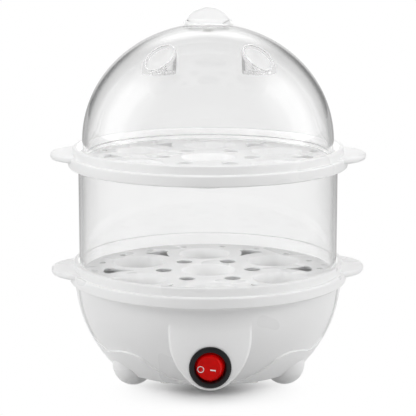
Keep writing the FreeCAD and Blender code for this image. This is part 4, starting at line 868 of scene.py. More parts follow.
@dataclass
class DomeLid:
    """The clear domed lid: a bead round its foot, two sunken steam vents, and a screw hole."""

    bead_out: float = 2.4 * MM
    bead_height: float = 2.6 * MM
    straight: float = 9.7 * MM
    rise: float = 66.4 * MM
    wall: float = 2.0 * MM
    vent_pitch: float = 45.6 * MM
    vent_angle: float = math.radians(36.2)
    vent_mouth: float = 8.7 * MM
    vent_floor: float = 7.6 * MM
    vent_wall: float = 1.4 * MM
    vent_rise: float = 24.0 * MM
    vent_floor_height: float = 52.4 * MM
    lip: float = 0.38 * MM
    hole: float = 1.5 * MM
    hole_pitch: float = 4.4 * MM
    holes: int = 5
    screw_way: float = 1.7 * MM
    cap_steps: int = 56

    def __post_init__(self) -> None:
        """Takes the lid's size from its CAD node."""
        low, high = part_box("dome_cover")
        self.foot_z = low.z
        self.radius = high.x - self.bead_out
        self.spring_z = low.z + self.straight
        self.top_z = self.spring_z + self.rise
        self.floor_z = low.z + self.vent_floor_height

    def cap(self, inset: float) -> Outline:
        """The dome's profile from its spring line up to the middle, moved in by an inset."""
        across, up = self.radius - inset, self.rise - inset
        angles = evenly(0.0, math.pi / 2, self.cap_steps)[:-1]
        side = [(across * math.cos(a), self.spring_z + up * math.sin(a)) for a in angles]
        return side + [(0.0, self.spring_z + up)]

    def surface_z(self, radius: float) -> float:
        """Height of the dome's outer surface at a distance from the middle."""
        return self.spring_z + self.rise * math.sqrt(1 - (radius / self.radius) ** 2)

    def vent_places(self) -> list[Pair]:
        """Where the two vents are."""
        x = self.vent_pitch * math.sin(self.vent_angle)
        y = -self.vent_pitch * math.cos(self.vent_angle)
        return [(-x, y), (x, y)]

    def lip_ring(self, place: Pair) -> Shape:
        """A fine round bead that follows the edge of a vent's mouth over the dome.

        Args:
            place: The vent's middle, seen from above.

        Returns:
            A torus whose points are carried out and up to where the vent's wall meets the dome.
        """
        deselect()
        bpy.ops.mesh.primitive_torus_add(
            major_segments=SMALL, minor_segments=12, location=(*place, 0),
            major_radius=self.vent_floor, minor_radius=self.lip)
        ring = settle(bpy.context.active_object)
        centre = Vector(place)
        flare = (self.vent_mouth - self.vent_floor) / self.vent_rise
        for vertex in ring.data.vertices:
            way = (vertex.co.to_2d() - centre).normalized()
            radius = self.vent_floor
            for _ in range(4):
                height = self.surface_z((centre + way * radius).length)
                radius = self.vent_floor + flare * (height - self.floor_z) + self.lip * 0.3
            vertex.co.x += way.x * (radius - self.vent_floor)
            vertex.co.y += way.y * (radius - self.vent_floor)
            vertex.co.z += height
        return ring

    def profile(self) -> Outline:
        """Half section of the dome's wall, with the bead round its foot."""
        inner, bead = self.radius - self.wall, self.radius + self.bead_out
        bead_top, bend_z = self.foot_z + self.bead_height, self.foot_z + self.straight / 2
        foot = filleted([
            (inner, bend_z), (inner, self.foot_z, 0.5 * MM), (bead, self.foot_z, 0.8 * MM),
            (bead, bead_top, 0.8 * MM), (self.radius, bead_top, 0.6 * MM), (self.radius, bend_z)])
        return self.cap(self.wall)[::-1] + foot + self.cap(0.0)

    def well(self, name: str, wall: float) -> Shape:
        """A vent's well as a solid, larger all round by a wall than the space in it."""
        low, high = self.floor_z, self.floor_z + self.vent_rise
        return turned(name, filleted([
            (0, low - wall), (self.vent_floor + wall, low - wall, 0.8 * MM),
            (self.vent_mouth + wall, high), (0, high)]), SMALL)

    def at_vents(self, shape: Shape) -> Shape:
        """A shape at both vents instead of in the middle."""
        pair = joined([copied(shape, (*place, 0)) for place in self.vent_places()])
        discard(shape)
        return pair

    def build(self, finish: Finish) -> Shape:
        """Models the lid in place of its CAD node.

        Args:
            finish: Its material.

        Returns:
            The lid.
        """
        lid = turned("lid", self.profile(), FINE)
        limit = turned("limit", [(0.0, self.foot_z)] + self.cap(self.wall / 2), INNER)
        wells = combined(self.at_vents(self.well("well", self.vent_wall)), limit, Join.COMMON)
        lid = combined(lid, wells, Join.ADD)

        low, high = self.floor_z - 3 * self.vent_wall, self.floor_z + self.vent_wall
        way = disc("way", self.hole, low, high)
        cuts = [disc("screw", self.screw_way, self.top_z - 2 * self.wall, self.top_z + self.wall)]
        for place in self.vent_places():
            cuts += [copied(way, (*polar(self.hole_pitch, angle, place), 0))
                     for angle in evenly(0.0, math.tau, self.holes)[:-1]]
        discard(way)
        lid = combined(lid, self.at_vents(self.well("cavity", 0.0)), Join.CUT)
        lid = smoothed(combined(lid, joined(cuts), Join.CUT), "clear_dome")
        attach(dress(lid, finish), "lid")
        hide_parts("dome_cover")
        return lid

    def rims(self, finish: Finish) -> Shape:
        """The rounded edges of both vents' mouths, in pale opaque white as a painted highlight."""
        rims = joined([self.lip_ring(place) for place in self.vent_places()])
        rims = smoothed(rims, "vent_rims")
        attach(dress(rims, finish), "lid")
        return rims


@dataclass
class Grip:
    """The upright half-round grip on the lid, with recessed faces and an oval foot."""

    lid: DomeLid
    radius: float = 15.0 * MM
    thickness: float = 6.4 * MM
    rim: float = 1.3 * MM
    recess: float = 0.35 * MM
    edge: float = 0.9 * MM
    band: float = 2.3 * MM
    bevel: float = 0.25 * MM
    foot: Spot = (12.6 * MM, 8.8 * MM, 1.1 * MM)
    foot_drop: float = 0.7 * MM
    air: float = 0.06 * MM

    def recess_cut(self, line_z: float, centre_z: float) -> Shape:
        """The cutter for the hollow in one face.

        Args:
            line_z: Height of the straight line that the hollow ends at.
            centre_z: Height of the grip's middle.

        Returns:
            A part of a disc above the line, facing the front.
        """
        radius = self.radius - self.rim
        start = math.asin((line_z - centre_z) / radius)
        outline = [polar(radius, angle) for angle in evenly(start, math.pi - 2 * start, HOLE)]
        face = self.thickness / 2
        tool = prism("recess", outline + outline[:1], face - self.recess, face + MM)
        return facing_front(tool, centre_z)

    def build(self, finish: Finish) -> Shape:
        """Models the grip in place of its CAD node.

        Args:
            finish: Its material.

        Returns:
            The grip.
        """
        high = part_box("lid_knob")[1]
        centre_z = high.z - self.radius
        face, lip = self.thickness / 2, self.radius - self.rim + MERGE
        section = filleted([
            (0, -face), (self.radius, -face, self.edge), (self.radius, face, self.edge), (0, face)])
        fin = facing_front(turned("fin", section, FIN), centre_z)
        front = self.recess_cut(self.lid.top_z + self.band, centre_z)
        back = copied(front, turn=(0, 0, math.pi))
        fin = combined(fin, joined([front, back]), Join.CUT)
        with editing(fin):
            pick_edges(fin, lambda edge: all(
                abs(abs(vert.co.y) - face) < MERGE
                and math.hypot(vert.co.x, vert.co.z - centre_z) < lip
                and vert.co.z > self.lid.top_z for vert in edge.verts)
                and edge.calc_face_angle(0.0) > 1.0)
            bpy.ops.mesh.bevel(offset=self.bevel, segments=3, clamp_overlap=False)
        deselect()
        bpy.ops.mesh.primitive_uv_sphere_add(segments=128, ring_count=48, radius=1.0)
        mound = bpy.context.active_object
        mound.scale = self.foot
        moved(mound, (0, 0, self.lid.top_z - self.foot_drop))
        grip = combined(fin, mound, Join.ADD)
        under = turned("under", [(0.0, self.lid.foot_z)] + self.lid.cap(-self.air), FINE)
        grip = combined(grip, under, Join.CUT)
        grip = smoothed(grip, "lid_grip")
        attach(dress(grip, finish), "lid")
        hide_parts("lid_knob")
        return grip


# ------------------------------------------------------------------------------------------
# Egg trays
# ------------------------------------------------------------------------------------------
@dataclass
class EggTray:
    """A tray with seven egg cups, round, arrow-shaped and small steam holes, and two ears."""

    turn: float = math.radians(1.9)
    plate_top: float = 4.5 * MM
    plate: float = 2.0 * MM
    rib: float = 1.5 * MM
    rib_height: float = 3.0 * MM
    ledge: float = 6.3 * MM
    skirt_wall: float = 2.6 * MM
    collar_step: float = 2.4 * MM
    collar_rise: float = 5.0 * MM
    collar_wall: float = 3.0 * MM
    ring_wall: float = 1.8 * MM
    ring_gap: float = 0.3 * MM
    rib_gap: float = 0.4 * MM
    egg: float = 15.4 * MM
    egg_pitch: float = 46.3 * MM
    eggs: int = 6
    lip: float = 1.3 * MM
    cup_foot: float = 12.2 * MM
    cup_wall: float = 1.6 * MM
    cup_height: float = 8.2 * MM
    edge_depth: float = 0.6 * MM
    hole_relief: float = 1.4 * MM
    pin_relief: float = 0.5 * MM
    round_hole: float = 4.75 * MM
    round_pitch: float = 25.7 * MM
    arrow_web: float = 7.4 * MM
    arrow_tip: float = 2.9 * MM
    arrow_wide: float = 16.9 * MM
    arrow_end: float = 19.6 * MM
    arrow_half: float = 6.4 * MM
    arrow_round: float = 24.0 * MM
    pin_hole: float = 2.1 * MM
    pin_pitch: float = 65.6 * MM
    pin_angle: float = math.radians(10.5)
    ear: float = 26.3 * MM
    ear_inset: float = 13.4 * MM
    ear_root: float = 1.2 * MM
    ear_low: float = 3.6 * MM
    ear_thick: float = 4.0 * MM
    ear_edge: float = 1.6 * MM
    edge: float = 0.9 * MM
    small: float = 0.35 * MM
    overlap: float = 0.2 * MM
    round_flare: float = 0.3 * MM
    pin_flare: float = 0.25 * MM

    def __post_init__(self) -> None:
        """Works out the radii from the skirt's, which the CAD node gives, and the heights."""
        self.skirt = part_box("lower_egg_tray")[1].y
        self.collar = self.skirt - self.collar_step
        self.collar_in = self.collar - self.collar_wall
        self.rib_out = self.collar_in - self.ring_gap - self.ring_wall - self.rib_gap
        self.under = self.plate_top - self.plate
        self.cup_z = self.plate_top - self.cup_height
        self.step = math.tau / self.eggs

    def section(self) -> Outline:
        """Half section of the tray with its middle egg cup."""
        under, small = self.under, self.small
        rib_in, rib_low = self.rib_out - self.rib, self.under - self.rib_height
        skirt_in, collar_top = self.skirt - self.skirt_wall, self.ledge + self.collar_rise
        return filleted([
            (self.cup_foot, self.cup_z, small), (self.cup_foot + self.cup_wall, self.cup_z, small),
            (self.egg + self.cup_wall, under), (rib_in, under), (rib_in, rib_low, small),
            (self.rib_out, rib_low, small), (self.rib_out, under), (skirt_in, under),
            (skirt_in, 0, small), (self.skirt, 0, self.edge), (self.skirt, self.ledge, self.edge),
            (self.collar, self.ledge, small), (self.collar, collar_top, self.edge),
            (self.collar_in, collar_top, self.edge), (self.collar_in, self.plate_top, small),
            (self.egg, self.plate_top, self.lip),
        ], closed=True)

    def cup_cut(self) -> Shape:
        """The cutter for one egg cup, flared so that the cup's edge comes out rounded."""
        low, top = self.cup_z - MM, self.plate_top
        slope = filleted([
            (self.cup_foot, low), (self.egg, top, self.lip), (self.egg + 2 * self.lip, top)])[:-1]
        return turned("cup_cut", [(0, low)] + slope
                      + [(slope[-1][0], top + MM), (0, top + MM)], SMALL)

    def cup_shell(self) -> Shape:
        """The outside of one egg cup, filled solid, up into the plate."""
        top = self.under + self.overlap
        return turned("cup_shell", filleted([
            (0, self.cup_z), (self.cup_foot + self.cup_wall, self.cup_z, self.small),
            (self.egg + self.cup_wall, top), (0, top)]), SMALL)

    def hole_cut(self, radius: float, flare: float, relief: float) -> Shape:
        """The cutter for a round hole.

        Args:
            radius: The hole's radius.
            flare: Rounding of its edge above.
            relief: How much wider it is underneath.

        Returns:
            The cutter, about the Z axis.
        """
        low, top, neck = self.under - MM, self.plate_top, self.plate_top - self.edge_depth
        wall = filleted([(radius + relief, low), (radius + relief, neck), (radius, neck),
                         (radius, top, flare), (radius + 2 * flare, top)])[:-1]
        return turned("hole_cut", [(0, low)] + wall
                      + [(wall[-1][0], top + MM), (0, top + MM)], HOLE)

    def arrow_cut(self) -> Shape:
        """The cutter for one arrow-shaped hole, on the +X axis and pointing at the middle."""
        flank = self.egg + self.arrow_web
        egg_x, egg_y = polar(self.egg_pitch, math.pi / self.eggs)
        tip_y, wide_y = (egg_y - math.sqrt(flank ** 2 - out ** 2)
                         for out in (self.arrow_tip, self.arrow_wide))
        tip_x, wide_x, end_x = (egg_x + out for out in
                                (self.arrow_tip, self.arrow_wide, self.arrow_end))
        outline = curved([
            (tip_x, tip_y, flank, -1), (tip_x, -tip_y), (wide_x, -wide_y, flank, -1),
            (end_x, -self.arrow_half), (end_x, self.arrow_half, self.arrow_round, 1),
            (wide_x, wide_y)])
        wide = offset_line(outline[-1:] + outline + outline[:1], -self.hole_relief)[1:-1]
        relief = prism("arrow_relief", wide, -2 * MM, self.plate_top - self.edge_depth)
        arrow = prism("arrow_cut", outline, -3 * MM, self.plate_top + MM)
        return combined(arrow, relief, Join.ADD)

    def ears(self) -> Shape:
        """Both carrying ears, with a root that reaches into the collar."""
        low, high = self.ear_low, self.ear_low + self.ear_thick
        section = filleted([
            (0, low), (self.ear, low, self.ear_edge), (self.ear, high, self.ear_edge), (0, high)])
        ear = moved(turned("ear", section, BODY), (self.collar - self.ear_inset, 0, 0))
        core = disc("core", self.collar - self.ear_root, -MM, 3 * self.ledge)
        ear = combined(ear, core, Join.CUT)
        return joined([ear, copied(ear, turn=(0, 0, math.pi))])

    def moulding(self) -> Shape:
        """One tray, with its skirt's foot at the origin's height.

        Returns:
            The tray, with its holes and ears.
        """
        tray = turned("tray", self.section(), FINE)
        spots = [(*polar(self.egg_pitch, self.step * (i + 0.5)), 0) for i in range(self.eggs)]
        shell, cup, arrow = self.cup_shell(), self.cup_cut(), self.arrow_cut()
        round_hole = self.hole_cut(self.round_hole, self.round_flare, self.hole_relief)
        pin_hole = self.hole_cut(self.pin_hole, self.pin_flare, self.pin_relief)
        shells = [self.ears()] + [copied(shell, spot) for spot in spots]
        tray = combined(tray, joined(shells), Join.ADD)
        cuts = [copied(cup, spot) for spot in spots]
        for angle in (self.step * index for index in range(self.eggs)):
            cuts.append(copied(arrow, turn=(0, 0, angle)))
            places = [(round_hole, self.round_pitch, angle)]
            places += [(pin_hole, self.pin_pitch, angle + side) for side in
                       (0.0, self.step / 2 - self.pin_angle, self.step / 2 + self.pin_angle)]
            cuts += [copied(tool, (*polar(pitch, a), 0)) for tool, pitch, a in places]
        tray = combined(tray, joined(cuts), Join.CUT)
        discard(shell, cup, arrow, round_hole, pin_hole)
        return tidied(tray)

    def build(self, finish: Finish) -> list[Shape]:
        """Models one tray, and puts one in place of each of the two CAD nodes.

        Args:
            finish: Their material.

        Returns:
            Both trays, the lower one first.
        """
        moulding = self.moulding()
        trays = []
        for body, turn in (("lower_tray", self.turn), ("upper_tray", -self.turn)):
            node = body.replace("tray", "egg_tray")
            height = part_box(node)[1].z - self.ledge - self.collar_rise
            tray = smoothed(copied(moulding, (0, 0, height), (0, 0, turn)), node + "_moulding")
            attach(dress(tray, finish), body)
            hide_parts(node)
            trays.append(tray)
        discard(moulding)
        return trays


# ------------------------------------------------------------------------------------------
# Steam base
# ------------------------------------------------------------------------------------------
def smooth_max(first: float, second: float, blend: float) -> float:
    """The larger of two lengths, with the change from one to the other rounded off."""
    share = max(blend - abs(first - second), 0.0) / blend
    return max(first, second) + share * share * blend / 4


def rounding(inward: float, radius: float) -> float:
    """How far a rounded edge falls away at a distance in from its side."""
    return radius - math.sqrt(max(radius ** 2 - (radius - min(inward, radius)) ** 2, 0.0))


def offset_line(line: Outline, distance: float) -> Outline:
    """An open line moved to its left."""
    points = [Vector(point) for point in line]
    ways = [(points[min(i + 1, len(points) - 1)] - points[max(i - 1, 0)]).normalized()
            for i in range(len(points))]
    return [(p.x - way.y * distance, p.y + way.x * distance) for p, way in zip(points, ways)]


@dataclass
class SwitchPanel:
    """The barrel-shaped panel that carries the switch, seen from the front as a rounded tongue."""

    swell: float = 2.39 * MM
    top_z: float = 44.5 * MM
    half: float = 22.6 * MM
    wide_z: float = 39.0 * MM
    side: float = 33.5 * MM
    tip: float = 16.0 * MM
    edge: float = 1.5 * MM
    blend: float = 1.3 * MM
    reach: float = 4.0 * MM
    switch_z: float = 22.6 * MM
    pitch: float = 0.7 * MM

    def half_line(self, inset: float = 0.0) -> Outline:
        """The right half of the tongue's outline, from its tip up past its top edge.

        Args:
            inset: How far it is moved in.

        Returns:
            (across, height) points.
        """
        side, tip, half = self.side - inset, self.tip - inset, self.half - inset
        shift = side - half
        tip_z = self.wide_z - math.sqrt((side - tip) ** 2 - shift ** 2)
        lean = math.asin(shift / (side - tip))
        rest, rise = math.pi / 2 - lean, self.top_z + self.reach - self.wide_z
        low_steps, side_steps, top_steps = (round(length / self.pitch) for length in
                                            (tip * lean, side * rest, rise))
        line = [(tip * math.sin(angle), tip_z - tip * math.cos(angle))
                for angle in evenly(0.0, lean, low_steps)[:-1]]
        line += [(side * math.sin(angle) - shift, self.wide_z - side * math.cos(angle))
                 for angle in evenly(lean, rest, side_steps)]
        return line + [(half, z) for z in evenly(self.wide_z, rise, top_steps)[1:]]

    def barrel(self, height: float, top_radius: float) -> float:
        """Radius of the panel's face about the Z axis at a height.

        Args:
            height: Above the table.
            top_radius: Radius at the panel's top edge.

        Returns:
            The radius of the face.
        """
        rise = self.top_z - self.switch_z
        bow = (rise ** 2 + self.swell ** 2) / (2 * self.swell)
        return top_radius + self.swell - bow + math.sqrt(bow ** 2 - (height - self.switch_z) ** 2)

    def half_width(self, height: float) -> float:
        """Half the tongue's width at a height, or 0 below its tip."""
        shift = self.side - self.half
        tip_z = self.wide_z - math.sqrt((self.side - self.tip) ** 2 - shift ** 2)
        lean = math.asin(shift / (self.side - self.tip))
        if height >= self.wide_z:
            return self.half
        if height > tip_z - self.tip * math.cos(lean):
            return math.sqrt(self.side ** 2 - (self.wide_z - height) ** 2) - shift
        return math.sqrt(max(self.tip ** 2 - (tip_z - height) ** 2, 0.0))


@dataclass
class SteamBase:
    """The base housing: bowl, raised cradle and wings, ball feet, switch panel, cord inlet."""

    rim: float = 77.0 * MM
    rim_z: float = 56.0 * MM
    arc: float = 75.84 * MM
    arc_z: float = 59.2 * MM
    floor_z: float = 6.5 * MM
    floor: float = 2.2 * MM
    relief: float = 1.0 * MM
    step_half: float = 0.5 * MM
    wall: float = 2.6 * MM
    foot_edge: float = 0.6 * MM
    foot: float = 11.6 * MM
    foot_hollow: float = 9.6 * MM
    foot_place: Spot = (43.0 * MM, 28.3 * MM, 11.2 * MM)
    panel_wall: float = 2.0 * MM
    seat: float = 11.9 * MM
    seat_y: float = 76.136 * MM
    switch_way: float = 10.05 * MM
    inlet_z: float = 20.0 * MM
    inlet_y: float = 69.5 * MM
    inlet_boss: float = 9.0 * MM
    inlet_wall: float = 2.0 * MM
    inlet_hole: float = 5.6 * MM
    cover: float = 38.7 * MM
    cover_ledge: float = 33.4 * MM
    ledge_out: float = 40.3 * MM
    ledge_top: float = 11.5 * MM
    cover_top: float = 8.5 * MM
    clear: float = 9.0 * MM
    row_gap: float = 0.3 * MM
    edge_gap: float = 0.25 * MM
    panel_out: float = 0.04 * MM
    wall_steps: int = 24
    step_shares: tuple[float, ...] = (-1.0, -0.55, -0.2, 0.2, 0.55, 1.0)
    edge_shares: tuple[float, ...] = (0.0, 0.04, 0.14, 0.3, 0.52, 0.76, 1.0)
    low_rows: tuple[float, ...] = (0.0, 0.08 * MM, 0.3 * MM, 0.6 * MM)
    panel: SwitchPanel = field(default_factory=SwitchPanel)
    window: tuple[Corner, ...] = (
        (16.9, 8.8), (36.0, 20.5, 57.6, 1), (56.5, 20.2, 15.9, -1), (66.0, 26.6, 15.5, 1),
        (73.4, 56.0, 64.0, 1))

    def __post_init__(self) -> None:
        """Works out what the bowl's curve gives: its middle and the panel's radius."""
        self.middle = self.rim - math.sqrt(self.arc ** 2 - (self.arc_z - self.rim_z) ** 2)
        self.panel_top = self.bowl_radius(self.relief, self.panel.top_z)

    def bowl_radius(self, inset: float, height: float) -> float:
        """Radius of the bowl's surface at a height, moved in along its normal."""
        return self.middle + math.sqrt((self.arc - inset) ** 2 - (self.arc_z - height) ** 2)

    def surface(self, angle: float, height: float, depth: float) -> float:
        """Radius of the moulding at an angle from the front, bowl and panel blended.

        Args:
            angle: About the Z axis, 0 at the front.
            height: Above the table.
            depth: How far the bowl is sunk there.

        Returns:
            The distance from the Z axis.
        """
        low_edge = rounding(height - self.floor_z, self.foot_edge)
        bowl = self.bowl_radius(depth, height) - low_edge
        half = self.panel.half_width(height)
        if half == 0.0 or abs(angle) > math.pi / 3:
            return bowl
        panel = self.panel.barrel(height, self.panel_top)
        aside = abs(math.sin(angle)) * panel
        if aside >= half:
            panel = half / abs(math.sin(angle))
        else:
            panel -= rounding(half - aside, self.panel.edge)
        if height < self.panel.wide_z - self.panel.edge:
            return max(bowl, panel)
        return smooth_max(bowl, panel, self.panel.blend)

    def window_line(self) -> Outline:
        """The right half of the sunk belly's outline, from the bottom's middle to the rim.

        Returns:
            The line laid flat round the bowl, as (way round at the rim's radius, height).
        """
        corners = [(*(value * MM for value in corner[:3]), *corner[3:]) for corner in self.window]
        x, z = corners[0]
        line = [(across, z) for across in evenly(0.0, x, 20)[:-1]] + [(x, z)]
        for start, end in zip(corners, corners[1:]):
            line += arc_run(start[:2], end)
        return [(math.asin(x / self.bowl_radius(self.relief / 2, z)) * self.rim, z)
                for x, z in line]

    def step_rows(self) -> list[Spot]:
        """Points along the step between cradle and belly, as (angle, height, radius)."""
        line = self.window_line()
        rows = []
        for share in self.step_shares:
            shift = share * self.step_half
            depth = self.relief * (0.5 + share * (1.5 - share * share / 2) / 2)
            inner = [(u, z) for u, z in offset_line(line, shift) if z < self.rim_z - self.row_gap]
            for u, z in inner + [(line[-1][0] - shift, self.rim_z)]:
                for turn in (u / self.rim, math.pi - u / self.rim):
                    rows += [(angle, z, self.surface(angle, z, depth)) for angle in (-turn, turn)]
        return rows

    def panel_rows(self) -> list[Spot]:
        """Points along the panel's side edges and their foot, as (angle, height, radius)."""
        line = self.panel.half_line()
        rows = []
        for x, z in offset_line(line, -self.panel_out):
            radius = self.bowl_radius(self.relief, z)
            rows.append((math.asin(max(x, 0.0) / radius), z, radius))
        for share in self.edge_shares:
            inward = share * self.panel.edge
            for x, z in offset_line(line, inward):
                face = self.panel.barrel(z, self.panel_top)
                depth = math.sqrt(face ** 2 - x ** 2) - rounding(inward, self.panel.edge)
                blend = self.panel.blend if z > self.panel.wide_z else MERGE
                radius = smooth_max(math.hypot(x, depth), self.bowl_radius(self.relief, z), blend)
                if x > -MERGE:
                    rows.append((math.atan2(max(x, 0.0), depth), z, radius))
        return rows + [(-angle, z, radius) for angle, z, radius in rows]

    def rest_rows(self, taken: KDTree, window: Outline) -> list[Spot]:
        """Points spread over the rest of the bowl, as (angle, height, radius).

        Args:
            taken: The points already laid, which the new ones keep clear of.
            window: The belly's outline, laid flat and closed.

        Returns:
            The new points.
        """
        columns = [math.radians(step) for step in range(-180, 181, 2)]
        levels = [self.floor_z + rise for rise in self.low_rows]
        levels += evenly(self.floor_z, self.rim_z - self.floor_z, self.wall_steps + 1)[1:]
        spots = [(angle, z) for angle in columns for z in levels]
        spots += [(x * MM / self.rim, z * MM) for x in range(-23, 24) for z in range(36, 50)]
        rows = []
        for angle, z in spots:
            edge = z in (levels[0], levels[-1])
            if taken.find((angle * self.rim, z, 0))[2] < (self.edge_gap if edge else PITCH):
                if not (edge and abs(angle) == math.pi):
                    continue
            aside = min(abs(angle), math.pi - abs(angle)) * self.rim
            depth = self.relief if within((aside, z), window) else 0.0
            rows.append((angle, z, self.surface(angle, z, depth)))
        return rows

    def shell(self) -> Shape:
        """The outside of bowl and panel as one closed skin, filled solid.

        Its points are laid round the bowl and along every step, joined up flat, and then
        carried out to the radius that each one has.
        """
        rows = self.step_rows() + self.panel_rows()
        taken = KDTree(len(rows))
        for index, (angle, z, _) in enumerate(rows):
            taken.insert((angle * self.rim, z, 0), index)
        taken.balance()
        line = self.window_line()
        above = 2 * self.rim_z
        window = line + [(line[-1][0], above), (-MM, above), (-MM, line[0][1])]
        spots = rows + self.rest_rows(taken, window)
        flat = [Vector((angle * self.rim, z)) for angle, z, _ in spots]
        laid = delaunay_2d_cdt(flat, [], [], 0, MERGE / 4, True)
        points = [spots[origin[0]] for origin in laid[3]]
        mesh = bpy.data.meshes.new("shell")
        mesh.from_pydata([(radius * math.sin(angle), -radius * math.cos(angle), z)
                          for angle, z, radius in points], [], laid[2])
        shell = bpy.data.objects.new("shell", mesh)
        bpy.context.scene.collection.objects.link(shell)
        with editing(shell):
            select_all()
            bpy.ops.mesh.remove_doubles(threshold=MERGE)
            for level in (self.floor_z, self.rim_z):
                pick_edges(shell, lambda edge: edge.is_boundary
                           and all(abs(vert.co.z - level) < MERGE for vert in edge.verts))
                bpy.ops.mesh.edge_face_add()
            turn_outwards()
        return shell

    def balls(self, radius: float) -> Shape:
        """Four balls where the feet stand.

        Args:
            radius: That of each ball.

        Returns:
            The balls as one object.
        """
        deselect()
        bpy.ops.mesh.primitive_uv_sphere_add(segments=72, ring_count=48, radius=radius)
        ball = bpy.context.active_object
        x, y, z = self.foot_place
        balls = joined([copied(ball, (a * x, b * y, z)) for a in (-1, 1) for b in (-1, 1)])
        discard(ball)
        return balls

    def boss(self, radius: float, end_y: float) -> Shape:
        """The cord inlet's round boss at the back, or its hollow."""
        start_y = self.inlet_y / 2
        return self.facing_back(turned("boss", filleted([
            (0, start_y), (radius, start_y), (radius, end_y, 0.8 * MM), (0, end_y)]), SMALL))

    def facing_back(self, shape: Shape) -> Shape:
        """Turns a shape built up along Z to face +Y, on the cord inlet's axis."""
        return moved(shape, (0, 0, self.inlet_z), (-math.pi / 2, 0, 0))

    def hollow(self) -> Shape:
        """The space inside the housing."""
        low, top = self.floor_z + self.floor, self.rim_z + MM
        line = [(self.bowl_radius(self.wall, z), z)
                for z in evenly(low, self.rim_z - low, self.wall_steps)]
        space = turned("hollow", [(0, low)] + line + [(line[-1][0], top), (0, top)])
        panel, wall = self.panel, self.panel_wall
        levels = evenly(self.floor_z, panel.top_z - self.floor_z, self.wall_steps)
        face = [(panel.barrel(z, self.panel_top) - wall, z) for z in levels]
        barrel = turned("barrel", [(0, levels[0])] + face + [(0, levels[-1])])
        right = [spot for spot in panel.half_line(wall) if spot[1] <= panel.top_z - wall]
        outline = right + [(-x, z) for x, z in reversed(right[1:])] + right[:1]
        tongue = facing_front(prism("tongue", outline, MM, self.rim + MM))
        boss = self.boss(self.inlet_boss - self.wall / 2, self.inlet_y - self.inlet_wall)
        for part in (combined(tongue, barrel, Join.COMMON), self.balls(self.foot_hollow), boss):
            space = combined(space, part, Join.ADD)
        return space

    def build(self, finish: Finish) -> Shape:
        """Models the housing in place of its CAD node.

        Args:
            finish: Its material.

        Returns:
            The housing.
        """
        base = combined(self.shell(), self.balls(self.foot), Join.ADD)
        base = combined(base, self.boss(self.inlet_boss, self.inlet_y), Join.ADD)
        base = combined(base, self.hollow(), Join.CUT)
        low, high, end = self.floor_z, self.ledge_top, self.rim + self.clear
        ledge = turned("ledge", filleted([
            (self.cover_ledge, low), (self.ledge_out, low), (self.ledge_out, high, 0.5 * MM),
            (self.cover_ledge, high, 0.5 * MM)], closed=True))
        base = combined(base, ledge, Join.ADD)
        seat = disc("seat", self.seat, self.seat_y, end)
        switch_way = disc("switch_way", self.switch_way, self.rim / 2, end)
        for tool in (
                disc("opening", self.cover_ledge + MERGE, -self.clear, high + MM),
                disc("rebate", self.cover, -self.clear, self.cover_top),
                facing_front(seat, self.panel.switch_z),
                facing_front(switch_way, self.panel.switch_z),
                self.facing_back(disc("inlet_way", self.inlet_hole, self.rim / 2, end)),
                disc("table", 2 * self.rim, -self.clear, 0.0)):
            base = combined(base, tool, Join.CUT)
        base = smoothed(base, "base_shell")
        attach(dress(base, finish), "base")
        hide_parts("base_housing")
        return base


